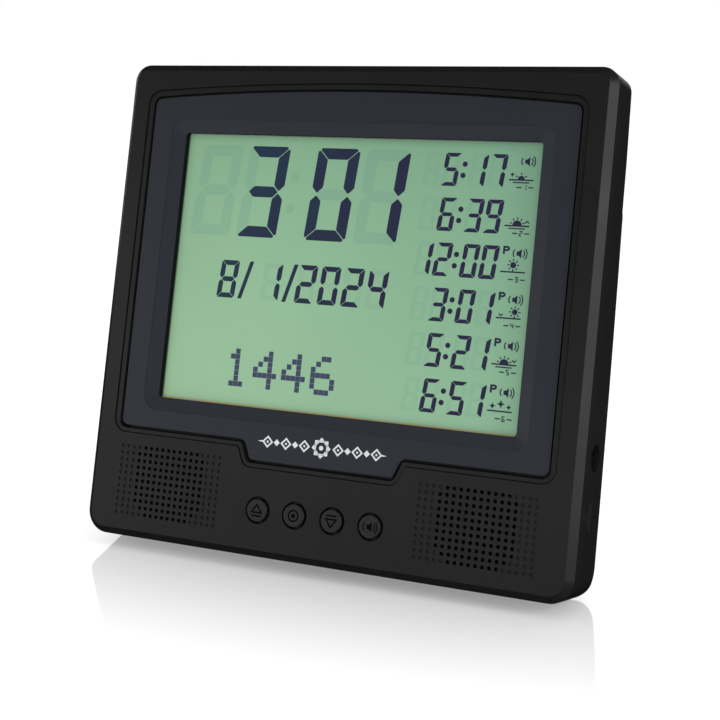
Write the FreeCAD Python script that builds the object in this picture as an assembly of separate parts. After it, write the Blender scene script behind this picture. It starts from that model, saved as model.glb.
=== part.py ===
"""Prayer-time desk clock, in millimetres.

Every piece is drawn in the upright case frame: x to the right as seen from the
front, y from the front face into the case, z up from the bottom edge.  The
last section leans the clock back to the angle at which it stands on its rear
leg and puts the origin at the middle of its footprint on the table.
"""
import FreeCAD, Part
import math
import os

V = FreeCAD.Vector
X_AXIS = V(1, 0, 0)
Y_AXIS = V(0, 1, 0)
Z_AXIS = V(0, 0, 1)

# ---- case ------------------------------------------------------------------
corner_radius_top = 7.6
corner_radius_bottom = 10.3
front_chamfer = 3.2
depth_top = 27.6            # front face to rear face at the top edge
depth_bottom = 36.9         # the same at the bottom edge
rear_crown = 2.0            # how far the rear face bulges past its chord
rear_bottom_round = 14.0
rear_top_round = 7.2
rear_side_round = 7.0
wall = 2.5
parting_top = 18.5          # depth of the parting line at the top edge
parting_bottom = 24.5       # the same at the bottom edge
lip_thick = 1.2
lip_height = 2.5
fit_gap = 0.15              # side clearance of pieces that slot together
lean = 14.0                 # degrees that the standing clock leans back
case_margin_side = 14.0     # case past the panel on each side
case_margin_top = 16.3      # case above the panel's upper corners

# ---- window and display panel ----------------------------------------------
window_half_w = 86.0
window_half_h = 60.9
window_round = 1.8
window_depth = 4.0          # depth of the window's edge behind the case face
bevel_width = 6.0
bevel_round = 7.0
bevel_step = 0.25           # the bevel starts this far below the panel's face
edge_land = 0.5
ring_margin = 1.6
panel_margin_side = 16.0    # panel past the window on each side
panel_margin_low = 13.9
panel_margin_high = 14.8    # at the panel's corners
panel_arch = 4.4            # rise of the arched top edge over its corners
panel_round = 3.0
panel_front = 1.4           # depth of the panel's face behind the case face
panel_thick = 2.0
tab_top_half = 37.8         # half width of the name tab where it leaves the panel
tab_bottom_half = 34.2
tab_drop = 8.6
tab_round = 1.6
reveal_gap = 0.9
band_width = 2.6            # sunk band round the panel
band_depth = 0.6
skirt_wall = 1.8
flange_thick = 1.6

# ---- display stack ---------------------------------------------------------
gasket_thick = 1.8
gasket_width = 4.6
polariser_thick = 0.2
polariser_inset = 1.5       # film inside the edges of its glass
glass_thick = 1.1
glass_margin_x = 4.0        # glass past the window on each side
glass_margin_z = 4.1
contact_ledge = 4.4
contact_edge = 0.8          # rubber strip inside the edges of its ledge
contact_inset = 5.0         # the same at its two ends
guide_thick = 3.2
guide_inset = 0.4           # light guide inside the window's width
reflector_thick = 0.2
lamp_strip_thick = 0.8
lamp_strip_half = 40.0
lamp_pitch = 30.0
lamp_depth = 1.6
lamp_half = 2.0
lamp_inset = 0.4            # lamps inside the light guide's faces
holder_plate = 2.0
holder_wall = 1.2
holder_open_half_w = 70.0
holder_open_half_h = 45.0
holder_open_round = 4.0
holder_corner = 0.2
holder_ear = 9.0
holder_screw_out = 7.6      # holder screws past the glass
holder_screw_rise = 50.0    # screws above and below the display's centre
screw_land = 1.0            # plastic past a screw boss in an ear

# ---- boards ----------------------------------------------------------------
board_thick = 1.6
board_side_inset = 2.0      # board inside the glass at each side
board_over_top = 2.0        # board above the glass
board_over_middle = 2.0     # board's lower edge above the display's centre
board_standoff = 0.7
board_screw_inset = 8.0
board_screw_low = 5.0       # lower screws above the board's lower edge
board_screw_high = 14.0     # upper screws below its upper edge
connector_size = (9.0, 5.0, 5.0)
plug_in_left = (22.0, 38.0)     # plugs in from the board's left edge
plug_in_right = (58.0, 20.0)    # the others in from its right edge
connector_up = 7.0          # above the board's lower edge, as for what follows
chip_size = (11.0, 1.8, 8.0)
chip_x = -4.0
chip_up = 21.0
resin_x = (-30.0, 22.0)
resin_up = 33.0
resin_radius = 7.0
resin_height = 2.0
can_in = (40.0, 32.0)       # capacitors in from the board's right edge
can_up = 13.0
can_radius = 3.0
can_height = 7.5
crystal_in = 36.0           # crystal in from the board's left edge
crystal_radius = 1.5
crystal_length = 8.0
resistor_size = (2.0, 0.6, 1.25)
resistor_count = 9
resistor_pitch = 5.0
resistor_up = 45.0

# ---- speakers and grilles --------------------------------------------------
speaker_from_side = 42.5    # a speaker's axis from the side of the case
speaker_z = 25.67
speaker_radius = 20.0
speaker_flange = 1.2
speaker_ring_wall = 1.3
speaker_gap = 0.2
panel_over_speaker = 4.53   # the panel's lower edge above the speakers
basket_depth = 6.5
basket_back_radius = 12.5
basket_wall = 1.0
throat_radius = 10.1
magnet_radius = 13.5
magnet_depth = 6.0
magnet_spigot = 0.4
cone_thick = 0.6
cone_radius = 16.5
cone_roll = 1.0             # width and depth of the fold at the cone's edge
dust_cap_radius = 6.0
dust_cap_front = 3.4        # cap's crown before the basket's rear edge
dust_cap_edge = 2.2         # cap's edge before the basket's rear edge
dust_cap_thick = 0.8
clamp_radius = 23.4         # clamp screws from the speaker's axis
clamp_grip = 1.2            # washer over the edge of the speaker's flange
washer_thick = 0.8
grille_pitch = 3.0
grille_hole_radius = 0.86
grille_columns = 18
grille_dimple_depth = 0.5
# the number of through holes in each row, from the top row down
grille_open = (10, 12, 12, 12, 12, 12, 12, 12, 12, 10, 8)

# ---- buttons ---------------------------------------------------------------
button_names = ("up", "set", "down", "sound")
button_pitch = 18.0
button_z = 20.2
button_radius = 4.9
button_hole_radius = 5.7
button_proud = 0.8
button_flange_radius = 6.7
button_flange_thick = 1.2
button_stem_radius = 2.0
button_travel = 0.5
rest_gap = 0.1              # flange to the wall that retains it
plunger_radius = 1.7
plunger_length = 2.5
plunger_seat = 0.9          # plunger inside its switch at rest
switch_size = 6.0
switch_height = 3.5
key_board_thick = 1.2
key_board_half_h = 8.5
key_screw_out = 10.5        # screws past the outer buttons
key_board_edge = 4.5        # board past its screws

# ---- volume wheel and power jack, on the right side wall -------------------
wheel_y = 15.9
wheel_z = 34.7
wheel_radius = 8.0
wheel_thick = 2.6
wheel_sunk = 1.0            # rim below the side face
wheel_notches = 32
wheel_notch_radius = 0.45
wheel_slot_gap = 0.55
wheel_shaft_radius = 1.5
shaft_reach = 2.0           # shaft inside the potentiometer
shaft_end_gap = 0.5
shaft_clearance = 0.05
pot_size = 10.0
pot_thick = 5.0
pot_gap = 0.6
jack_y = 16.9
jack_z = 58.7
jack_radius = 5.5
jack_gap = 0.3              # nose to the hole in the side wall
jack_sunk = 1.4
jack_length = 10.5
jack_body = 9.0
jack_tail = 2.0             # square body behind the round nose
jack_bore_radius = 2.8
jack_bore_depth = 9.0
jack_pin_radius = 1.0
jack_pin_sunk = 1.0
side_board_gap = 2.0        # board to the inside of the side wall
side_board_width = 14.5
side_board_thick = 1.2
side_board_below = 10.7     # below the wheel's axis
side_board_above = 13.8     # above the jack's axis
side_post_inset = 8.0       # posts inside the board's outer edge
side_post_reach = 9.9       # posts above and below the jack's axis

# ---- battery bay -----------------------------------------------------------
cell_radius = 7.15
cell_length = 49.2
cell_nub_radius = 2.7
cell_nub = 1.3
cell_edge_round = 0.6
cell_gap = 0.3
bay_end = 4.0               # room for a contact at each end of a cell
bay_beside_leg = 5.5        # bay to the bosses of the leg's pin
bay_over_speaker = 7.33     # bay above the speakers
bay_wall = 1.6
door_thick = 1.8
door_rim = 2.0
door_gap = 0.3
door_tab_half = 4.0
door_tab_thick = 1.2
door_tab_reach = 1.8
grip_radius = 9.0           # round of the finger scoop at the door's edge
grip_half = 9.0
grip_depth = 0.8
grip_under = 6.2            # scoop's axis below the door's upper edge
contact_thick = 0.4
contact_half = 5.0
spring_wire = 0.5
spring_pitch = 1.0
spring_radius = 3.6
spring_sections = 16        # sections of the wire in one turn
spring_sides = 8            # sides of the wire's section

# ---- stand leg -------------------------------------------------------------
recess_half_w = 27.0
recess_top = 110.0
recess_depth = 7.6          # at the recess's top edge
recess_wall = 2.0
leg_half_w = 25.0
leg_tip_half_w = 20.0
leg_thick = 5.0
leg_skin = 2.2
leg_rib = 2.4
leg_axis_drop = 6.0         # hinge axis below the recess's top edge
leg_clear = 1.3             # folded leg to the recess floor
leg_open = 28.0             # degrees from folded to standing
leg_barrel_radius = 3.0
leg_stop_gap = 0.2          # heel to the recess floor when the leg stands
pin_radius = 1.25
pin_boss = 4.0
pin_end_gap = 0.5
running_gap = 0.05
foot_pad_wall = 1.0
foot_pad_spread = 0.4       # shoe past the taper of the leg's tip
foot_pad_grip = 5.0
foot_pad_sole = 2.0

# ---- rubber feet -----------------------------------------------------------
foot_from_side = 38.0
foot_half_length = 13.0
foot_width = 6.4
foot_back = 5.3             # foot to the rear face
foot_round = 2.0
foot_drop = 0.8             # soles below the lowest point of the case
foot_pocket = 1.0

# ---- screws, keyholes and vents --------------------------------------------
screw_inset_side = 7.8
screw_inset_low = 8.5
screw_inset_top = 8.0
screw_over_middle = 1.5     # middle screws above the middle of the case
boss_radius = 3.6
boss_sleeve = 0.9           # wall round a case screw's head
screw_radius = 1.5
screw_head_radius = 2.8
screw_head = 1.8
screw_clear = 0.02
screw_bite = 9.0
screw_tip_gap = 1.0
cover_seat = 3.0            # plastic under a case screw's head
small_screw_radius = 1.1
small_head_radius = 2.1
small_head = 1.4
small_bite = 5.0
small_boss_radius = 2.6
recess_reach = 0.62         # cross recess, as shares of the screw's own sizes
recess_width = 0.25
recess_deep = 0.6
keyhole_x = 60.0
keyhole_under_top = 39.0
keyhole_radius = 4.4
keyhole_slot_half = 2.1
keyhole_rise = 8.0
keyhole_depth = 5.0
keyhole_wall = 1.5
vent_slots = 7
vent_pitch = 4.4
vent_half_length = 15.0
vent_half_height = 0.9

# ---- sizes that follow -----------------------------------------------------
panel_half_width = window_half_w + panel_margin_side
panel_bottom = speaker_z + speaker_radius + panel_over_speaker
display_z = panel_bottom + panel_margin_low + window_half_h
panel_corner_z = display_z + window_half_h + panel_margin_high
case_width = 2 * (panel_half_width + case_margin_side)
case_height = panel_corner_z + case_margin_top
speaker_x = case_width / 2 - speaker_from_side

past = 1.0                  # how far a cutting tool runs past what it cuts
tiny = 1e-6                 # tolerance for finding edges by their place
far = 400.0                 # well past the clock, for cutting tools

parts = {}


# ---- helpers ---------------------------------------------------------------
def block(x0, x1, y0, y1, z0, z1):
    """Rectangular block between two opposite corners."""
    return Part.makeBox(x1 - x0, y1 - y0, z1 - z0, V(x0, y0, z0))


def rod(radius, start, length, axis=Y_AXIS):
    """Cylinder from a point along an axis."""
    return Part.makeCylinder(radius, length, start, axis)


def along(edge, axis):
    """True where a straight edge runs parallel to an axis."""
    if edge.Curve.TypeId != "Part::GeomLine":
        return False
    return abs(abs(edge.tangentAt(edge.FirstParameter).dot(axis)) - 1) < tiny


def rounded(solid, radius, axis=Y_AXIS):
    """Round every edge of a solid that is parallel to an axis."""
    edges = [edge for edge in solid.Edges if along(edge, axis)]
    return solid.makeFillet(radius, edges)


def plate(half_w, half_h, y0, y1, radius):
    """Plate centred on the display, with rounded corners."""
    low = display_z - half_h
    high = display_z + half_h
    return rounded(block(-half_w, half_w, y0, y1, low, high), radius)


def joined(first, *others):
    """One solid from pieces that touch, without the seams between them."""
    return first.multiFuse(list(others)).removeSplitter()


def plate_outline(half_w, half_h, y, radius):
    """Rounded rectangle round the display at one depth, as a wire."""
    solid = plate(half_w, half_h, y, y + past, radius)
    for face in solid.Faces:
        if abs(face.CenterOfMass.y - y) < tiny:
            return face.OuterWire
    raise ValueError("no face at this depth")


# ---- case envelope ---------------------------------------------------------
def rear_circle():
    """Centre and radius, in y and z, of the arc that the rear face follows."""
    chord = V(0, depth_bottom - depth_top, -case_height)
    half = chord.Length / 2
    radius = (half * half + rear_crown * rear_crown) / (2 * rear_crown)
    outward = V(0, case_height, depth_bottom - depth_top).normalize()
    middle = V(0, (depth_top + depth_bottom) / 2, case_height / 2)
    return middle - outward * (radius - rear_crown), radius


rear_centre, rear_radius = rear_circle()


def rear_y(z, inset=0.0):
    """Depth of the rear face at a height, or of a face inset from it."""
    rise = z - rear_centre.z
    return rear_centre.y + math.sqrt((rear_radius - inset) ** 2 - rise * rise)


def parting_y(z):
    """Depth of the line where the front case meets the rear cover."""
    return parting_bottom + (parting_top - parting_bottom) * z / case_height


def case_body(inset):
    """Solid envelope of the case, every face moved inward by inset."""
    half = case_width / 2 - inset
    low = inset
    high = case_height - inset
    middle = case_height / 2
    corners = [V(-half, inset, low), V(-half, inset, high)]
    top = V(-half, rear_y(high, inset), high)
    bulge = V(-half, rear_y(middle, inset), middle)
    bottom = V(-half, rear_y(low, inset), low)
    side = Part.Wire([
        Part.makeLine(corners[0], corners[1]),
        Part.makeLine(corners[1], top),
        Part.Arc(top, bulge, bottom).toShape(),
        Part.makeLine(bottom, corners[0]),
    ])
    body = Part.Face(side).extrude(V(2 * half, 0, 0))

    def rear_edge(z):
        return [edge for edge in body.Edges if along(edge, X_AXIS)
                and edge.CenterOfMass.y > wall + inset and abs(edge.CenterOfMass.z - z) < tiny]

    body = body.makeFillet(rear_top_round - inset, rear_edge(high))
    body = body.makeFillet(rear_bottom_round - inset, rear_edge(low))
    rim = [edge for edge in body.Edges
           if abs(abs(edge.CenterOfMass.x) - half) < tiny and edge.CenterOfMass.y > inset + tiny]
    body = body.makeFillet(rear_side_round - inset, rim)
    outline = block(-half, half, -far, far, low, high)
    for radius, z in ((corner_radius_top, high), (corner_radius_bottom, low)):
        corner = [edge for edge in outline.Edges
                  if along(edge, Y_AXIS) and abs(edge.CenterOfMass.z - z) < tiny]
        outline = outline.makeFillet(radius - inset, corner)
    body = body.common(outline).removeSplitter()
    front = [edge for edge in body.Edges if edge.BoundBox.YMax < inset + tiny]
    return body.makeChamfer(front_chamfer - inset * (2 - math.sqrt(2)), front)


def in_front_of_parting(shift=0.0):
    """Everything in front of the parting line moved back by shift."""
    low = -far
    high = far
    outline = Part.makePolygon([
        V(-far, -far, low), V(-far, parting_y(low) + shift, low),
        V(-far, parting_y(high) + shift, high), V(-far, -far, high), V(-far, -far, low),
    ])
    return Part.Face(outline).extrude(V(2 * far, 0, 0))


outer_body = case_body(0.0)
inner_body = case_body(wall)
shell = outer_body.cut(inner_body)


# ---- panel outline ---------------------------------------------------------
def grown(corners, grow):
    """Corners of a clockwise outline moved outward, with mitred joints."""
    moved = []
    for index, corner in enumerate(corners):
        before = corners[index - 1]
        after = corners[(index + 1) % len(corners)]
        arrive = (corner - before).normalize()
        leave = (after - corner).normalize()
        out_arrive = V(-arrive.z, 0, arrive.x)
        out_leave = V(-leave.z, 0, leave.x)
        mitre = out_arrive + out_leave
        moved.append(corner + mitre * (grow / (1 + out_arrive.dot(out_leave))))
    return moved


def panel_prism(grow, y0, y1):
    """Panel outline grown on every side, between two depths."""
    tab_z = panel_bottom - tab_drop
    right = [V(panel_half_width, 0, panel_corner_z), V(panel_half_width, 0, panel_bottom),
             V(tab_top_half, 0, panel_bottom), V(tab_bottom_half, 0, tab_z)]
    left = [V(-corner.x, 0, corner.z) for corner in reversed(right)]
    points = [point + V(0, y0, 0) for point in grown(right + left, grow)]
    crest = V(0, y0, panel_corner_z + panel_arch + grow)
    edges = [Part.makeLine(start, end) for start, end in zip(points, points[1:])]
    edges.append(Part.Arc(points[-1], crest, points[0]).toShape())
    prism = Part.Face(Part.Wire(edges)).extrude(V(0, y1 - y0, 0))

    def upright(test):
        return [edge for edge in prism.Edges if along(edge, Y_AXIS) and test(edge.CenterOfMass)]

    middle = (panel_half_width + tab_top_half) / 2
    prism = prism.makeFillet(panel_round + grow, upright(lambda c: abs(c.x) > middle))
    tab_foot = upright(lambda c: abs(c.x) < middle and c.z < tab_z + tiny)
    prism = prism.makeFillet(tab_round + grow, tab_foot)
    tab_root = upright(lambda c: abs(c.x) < middle and c.z > tab_z + tab_drop / 2)
    return prism.makeFillet(max(tab_round, tab_round + band_width - grow), tab_root)


panel_back = panel_front + panel_thick
flange_back = panel_back + flange_thick
ring_half_w = window_half_w + bevel_width + ring_margin
ring_half_h = window_half_h + bevel_width + ring_margin
ring_back = window_depth + edge_land
glass_half_w = window_half_w + glass_margin_x
glass_half_h = window_half_h + glass_margin_z
gasket_back = ring_back + gasket_thick
polariser_back = gasket_back + polariser_thick
front_glass_back = polariser_back + glass_thick
rear_glass_back = front_glass_back + glass_thick
guide_back = rear_glass_back + guide_thick
guide_half_w = window_half_w - guide_inset
reflector_back = guide_back + reflector_thick
holder_back = reflector_back + holder_plate
board_front = holder_back + board_standoff
board_back = board_front + board_thick
stack_top = display_z + glass_half_h - contact_ledge
stack_bottom = display_z - glass_half_h

flange_front_y = wall + rest_gap
button_back = flange_front_y + button_flange_thick
stem_back = button_back + plunger_length
plunger_back = stem_back + plunger_length
switch_front = plunger_back - plunger_seat
key_board_front = switch_front + switch_height
button_x = [button_pitch * (index - (len(button_names) - 1) / 2)
            for index in range(len(button_names))]
key_screw_x = button_x[-1] + key_screw_out
key_board_half_w = key_screw_x + key_board_edge

wheel_x = case_width / 2 - wheel_sunk - wheel_radius
pot_front = wheel_y + wheel_thick / 2 + pot_gap
side_board_front = pot_front + pot_thick
jack_face_x = case_width / 2 - jack_sunk
jack_back_x = jack_face_x - jack_length
jack_hole_radius = jack_radius + jack_gap
side_board_right = case_width / 2 - wall - side_board_gap
side_board_left = side_board_right - side_board_width

board_half_w = glass_half_w - board_side_inset
connector_x = ([inset - board_half_w for inset in plug_in_left]
               + [board_half_w - inset for inset in plug_in_right])
can_x = [board_half_w - inset for inset in can_in]
crystal_x = crystal_in - board_half_w
board_low = display_z + board_over_middle
board_high = display_z + glass_half_h + board_over_top


# ---- screw groups ----------------------------------------------------------
def screw(x, z, seat, bite, radius, head_radius, head):
    """Pan head screw driven forward from the rear, with a cross recess."""
    shank = rod(radius - screw_clear, V(x, seat - bite, z), bite)
    top = rod(head_radius, V(x, seat, z), head)
    body = joined(shank, top)
    slot_half = head_radius * recess_reach
    slot_width = radius * recess_width
    depth = head * recess_deep
    for across, up in ((slot_half, slot_width), (slot_width, slot_half)):
        notch = block(x - across, x + across, seat + head - depth, seat + head + past,
                      z - up, z + up)
        body = body.cut(notch)
    return body


def small_screws(places, seat, bite=small_bite):
    """Group of small screws whose heads sit at one depth."""
    return Part.makeCompound([
        screw(x, z, seat, bite, small_screw_radius, small_head_radius, small_head)
        for x, z in places])


def boss(x, z, y0, y1, radius, hole_radius, hole_depth):
    """Round boss with a pilot hole in its rear end, as a solid and a hole."""
    return rod(radius, V(x, y0, z), y1 - y0), rod(hole_radius, V(x, y1 - hole_depth, z), hole_depth)


def case_screw_places():
    """Places of the screws that hold the two halves of the case together."""
    x = case_width / 2 - screw_inset_side
    heights = (screw_inset_low, case_height / 2 + screw_over_middle,
               case_height - screw_inset_top)
    return [(side * x, z) for side in (-1, 1) for z in heights]


def case_joint_y(z):
    """Depth where a front case boss meets a rear cover boss."""
    return parting_y(z) - wall


holder_screw_places = [(side * (glass_half_w + holder_screw_out),
                        display_z + rise * holder_screw_rise)
                       for side in (-1, 1) for rise in (-1, 1)]
board_screw_places = [(side * (board_half_w - board_screw_inset), z) for side in (-1, 1)
                      for z in (board_low + board_screw_low, board_high - board_screw_high)]
key_screw_places = [(side * key_screw_x, button_z) for side in (-1, 1)]
side_screw_places = [(side_board_right - side_post_inset, jack_z + step * side_post_reach)
                     for step in (-1, 1)]
clamp_places = [(side * speaker_x + step * clamp_radius, speaker_z)
                for side in (-1, 1) for step in (-1, 1)]
speaker_seat = wall + speaker_flange


# ---- front case ------------------------------------------------------------
def grille_cuts(centre_x):
    """Through holes and blind dimples of one speaker grille."""
    cuts = []
    rows = len(grille_open)
    for row, open_count in enumerate(grille_open):
        z = speaker_z + ((rows - 1) / 2 - row) * grille_pitch
        for column in range(grille_columns):
            offset = column - (grille_columns - 1) / 2
            through = abs(offset) < open_count / 2
            depth = wall + past if through else grille_dimple_depth
            start = V(centre_x + offset * grille_pitch, -past, z)
            cuts.append(rod(grille_hole_radius, start, depth + past))
    return cuts


def wheel_slot():
    """Slot and thumb scoop for the volume wheel, in the right side wall."""
    inner = case_width / 2 - wall - wheel_x
    half_z = math.sqrt(wheel_radius ** 2 - inner ** 2) + wheel_slot_gap
    half_y = wheel_thick / 2 + wheel_slot_gap
    side = case_width / 2
    slot = block(side - wall - past, side + past, wheel_y - half_y, wheel_y + half_y,
                 wheel_z - half_z, wheel_z + half_z)
    scoop_low = plate_rect(side - wall / 2, half_y, half_z)
    scoop_high = plate_rect(side + wall / 2, half_y + wall / 2, half_z + wall / 2)
    scoop = Part.makeLoft([scoop_low, scoop_high], True, True)
    return [slot, scoop]


def plate_rect(x, half_y, half_z):
    """Rectangle round the volume wheel at one x, as a wire."""
    corners = [V(x, wheel_y + across * half_y, wheel_z + up * half_z)
               for across, up in ((-1, -1), (1, -1), (1, 1), (-1, 1), (-1, -1))]
    return Part.makePolygon(corners)


def make_front_case():
    tray = panel_prism(reveal_gap + skirt_wall, wall / 2, flange_back)
    case = shell.common(in_front_of_parting()).fuse(tray)
    for side in (-1, 1):
        centre = V(side * speaker_x, wall / 2, speaker_z)
        inner = speaker_radius + speaker_gap
        height = speaker_seat - wall / 2
        ring = rod(inner + speaker_ring_wall, centre, height).cut(rod(inner, centre, height))
        case = case.fuse(ring)
    holes = []
    posts = [(place, panel_back, reflector_back, small_boss_radius, small_screw_radius,
              small_bite) for place in holder_screw_places]
    posts += [(place, wall / 2, key_board_front, small_boss_radius, small_screw_radius,
               small_bite) for place in key_screw_places]
    posts += [(place, wall / 2, side_board_front, small_boss_radius, small_screw_radius,
               small_bite) for place in side_screw_places]
    posts += [(place, wall / 2, speaker_seat, small_boss_radius, small_screw_radius,
               speaker_seat - wall / 2) for place in clamp_places]
    posts += [(place, wall / 2, case_joint_y(place[1]), boss_radius, screw_radius,
               screw_bite) for place in case_screw_places()]
    for (x, z), y0, y1, radius, hole_radius, depth in posts:
        post, hole = boss(x, z, y0, y1, radius, hole_radius, depth)
        case = case.fuse(post)
        holes.append(hole)
    cuts = holes + [
        panel_prism(reveal_gap + band_width, -past, band_depth),
        panel_prism(reveal_gap, -past, panel_back),
        plate(ring_half_w + fit_gap, ring_half_h + fit_gap, -past, far, bevel_round),
        rod(jack_hole_radius, V(side_board_right, jack_y, jack_z), far, X_AXIS),
    ]
    cuts += wheel_slot()
    cuts += [rod(button_hole_radius, V(x, -past, button_z), wall + 2 * past) for x in button_x]
    case = case.cut(Part.makeCompound(cuts))
    for side in (-1, 1):
        case = case.cut(Part.makeCompound(grille_cuts(side * speaker_x)))
    return case.removeSplitter()


# ---- display ---------------------------------------------------------------
def make_bezel():
    """Fascia panel whose bevelled ring leads in to the window."""
    body = panel_prism(0.0, panel_front, panel_back)
    ring = plate(ring_half_w, ring_half_h, panel_front, ring_back, bevel_round)
    bevel_half_w = window_half_w + bevel_width
    bevel_half_h = window_half_h + bevel_width
    bevel_front = panel_front + bevel_step
    step = plate(bevel_half_w, bevel_half_h, -past, bevel_front, bevel_round)
    funnel = Part.makeLoft([
        plate_outline(bevel_half_w, bevel_half_h, bevel_front, bevel_round),
        plate_outline(window_half_w, window_half_h, window_depth, window_round),
    ], True, True)
    window = plate(window_half_w, window_half_h, -past, ring_back + past, window_round)
    return joined(body, ring).cut(step).cut(funnel).cut(window)


def make_gasket():
    """Foam frame between the panel's ring and the display."""
    outer = plate(window_half_w + gasket_width, window_half_h + gasket_width,
                  ring_back, gasket_back, window_round + gasket_width)
    inner = plate(window_half_w, window_half_h, ring_back, gasket_back, window_round)
    return outer.cut(inner)


def stack_layer(half_w, y0, y1, top):
    """Layer of the display from the bottom of the stack to a height."""
    return block(-half_w, half_w, y0, y1, stack_bottom, top)


def make_holder():
    """Moulded frame that holds the display stack against the gasket."""
    inner_w = glass_half_w + fit_gap
    inner_h = glass_half_h + fit_gap
    outer_w = inner_w + holder_wall
    outer_h = inner_h + holder_wall
    body = plate(outer_w, outer_h, polariser_back, holder_back, holder_wall)
    ears = [block(min(0, x), max(0, x), reflector_back, holder_back,
                  z - holder_ear / 2, z + holder_ear / 2)
            for x, z in [(math.copysign(abs(x) + small_boss_radius + screw_land, x), z)
                         for x, z in holder_screw_places]]
    body = joined(body, *ears)
    standoffs = [rod(small_boss_radius, V(x, reflector_back, z), board_front - reflector_back)
                 for x, z in board_screw_places]
    body = joined(body, *standoffs)
    slot_half = glass_half_w - glass_margin_x
    cuts = [
        plate(inner_w, inner_h, 0, reflector_back, holder_corner),
        plate(holder_open_half_w, holder_open_half_h, 0, far, holder_open_round),
        block(-slot_half, slot_half, 0, far, stack_top, display_z + glass_half_h),
    ]
    cuts += [rod(small_screw_radius + fit_gap, V(x, 0, z), far) for x, z in holder_screw_places]
    cuts += [rod(small_screw_radius, V(x, 0, z), far) for x, z in board_screw_places]
    return body.cut(Part.makeCompound(cuts))


def make_leds():
    """Two strips of backlight lamps at the ends of the light guide."""
    solids = []
    for side in (-1, 1):
        back = side * glass_half_w
        face = back - side * lamp_strip_thick
        strip = block(min(back, face), max(back, face), rear_glass_back, guide_back,
                      display_z - lamp_strip_half, display_z + lamp_strip_half)
        lamps = []
        for step in (-1, 0, 1):
            tip = face - side * lamp_depth
            z = display_z + step * lamp_pitch
            lamps.append(block(min(face, tip), max(face, tip), rear_glass_back + lamp_inset,
                               guide_back - lamp_inset, z - lamp_half, z + lamp_half))
        solids.append(joined(strip, *lamps))
    return Part.makeCompound(solids)


# ---- boards ----------------------------------------------------------------
def make_main_board():
    """Board behind the upper half of the display."""
    board = block(-board_half_w, board_half_w, board_front, board_back, board_low, board_high)
    holes = [rod(small_screw_radius + fit_gap, V(x, 0, z), far) for x, z in board_screw_places]
    return board.cut(Part.makeCompound(holes))


def on_board(x, up, size):
    """Square-cornered component standing on the main board's rear face."""
    width, height, rise = size
    z = board_low + up
    return block(x - width / 2, x + width / 2, board_back, board_back + height,
                 z - rise / 2, z + rise / 2)


def make_chips():
    """Sound and clock chips under a blob of black resin each, and one flat package."""
    sphere = (resin_radius ** 2 + resin_height ** 2) / (2 * resin_height)
    above = block(-far, far, board_back, far, -far, far)
    solids = [Part.makeSphere(sphere, V(x, board_back + resin_height - sphere,
                                        board_low + resin_up)).common(above) for x in resin_x]
    solids.append(on_board(chip_x, chip_up, chip_size))
    return Part.makeCompound(solids)


def make_components():
    """Capacitors, crystal, resistors and plugs on the main board."""
    solids = [rod(can_radius, V(x, board_back, board_low + can_up), can_height) for x in can_x]
    crystal_start = V(crystal_x, board_back + crystal_radius, board_low + resin_up)
    solids.append(rod(crystal_radius, crystal_start, crystal_length, Z_AXIS))
    solids += [on_board(resistor_pitch * (index - (resistor_count - 1) / 2), resistor_up,
                        resistor_size) for index in range(resistor_count)]
    solids += [on_board(x, connector_up, connector_size) for x in connector_x]
    return Part.makeCompound(solids)


def make_key_board():
    """Board behind the row of buttons."""
    board = block(-key_board_half_w, key_board_half_w, key_board_front,
                  key_board_front + key_board_thick,
                  button_z - key_board_half_h, button_z + key_board_half_h)
    holes = [rod(small_screw_radius + fit_gap, V(x, 0, z), far) for x, z in key_screw_places]
    return board.cut(Part.makeCompound(holes))


def make_switches():
    """Tactile switch bodies, each with a well for its plunger."""
    half = switch_size / 2
    well = plunger_seat + button_travel + rest_gap
    solids = []
    for x in button_x:
        body = block(x - half, x + half, switch_front, key_board_front,
                     button_z - half, button_z + half)
        solids.append(body.cut(rod(plunger_radius + rest_gap, V(x, switch_front, button_z), well)))
    return Part.makeCompound(solids)


def make_button(x):
    """Round key cap with a retaining flange and a stem."""
    cap = rod(button_radius, V(x, -button_proud, button_z), button_proud + button_back)
    crown = [edge for edge in cap.Edges if abs(edge.CenterOfMass.y + button_proud) < tiny]
    cap = cap.makeFillet(button_proud / 2, crown)
    flange = rod(button_flange_radius, V(x, flange_front_y, button_z), button_flange_thick)
    stem = rod(button_stem_radius, V(x, flange_front_y, button_z), stem_back - flange_front_y)
    return joined(cap, flange, stem)


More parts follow.
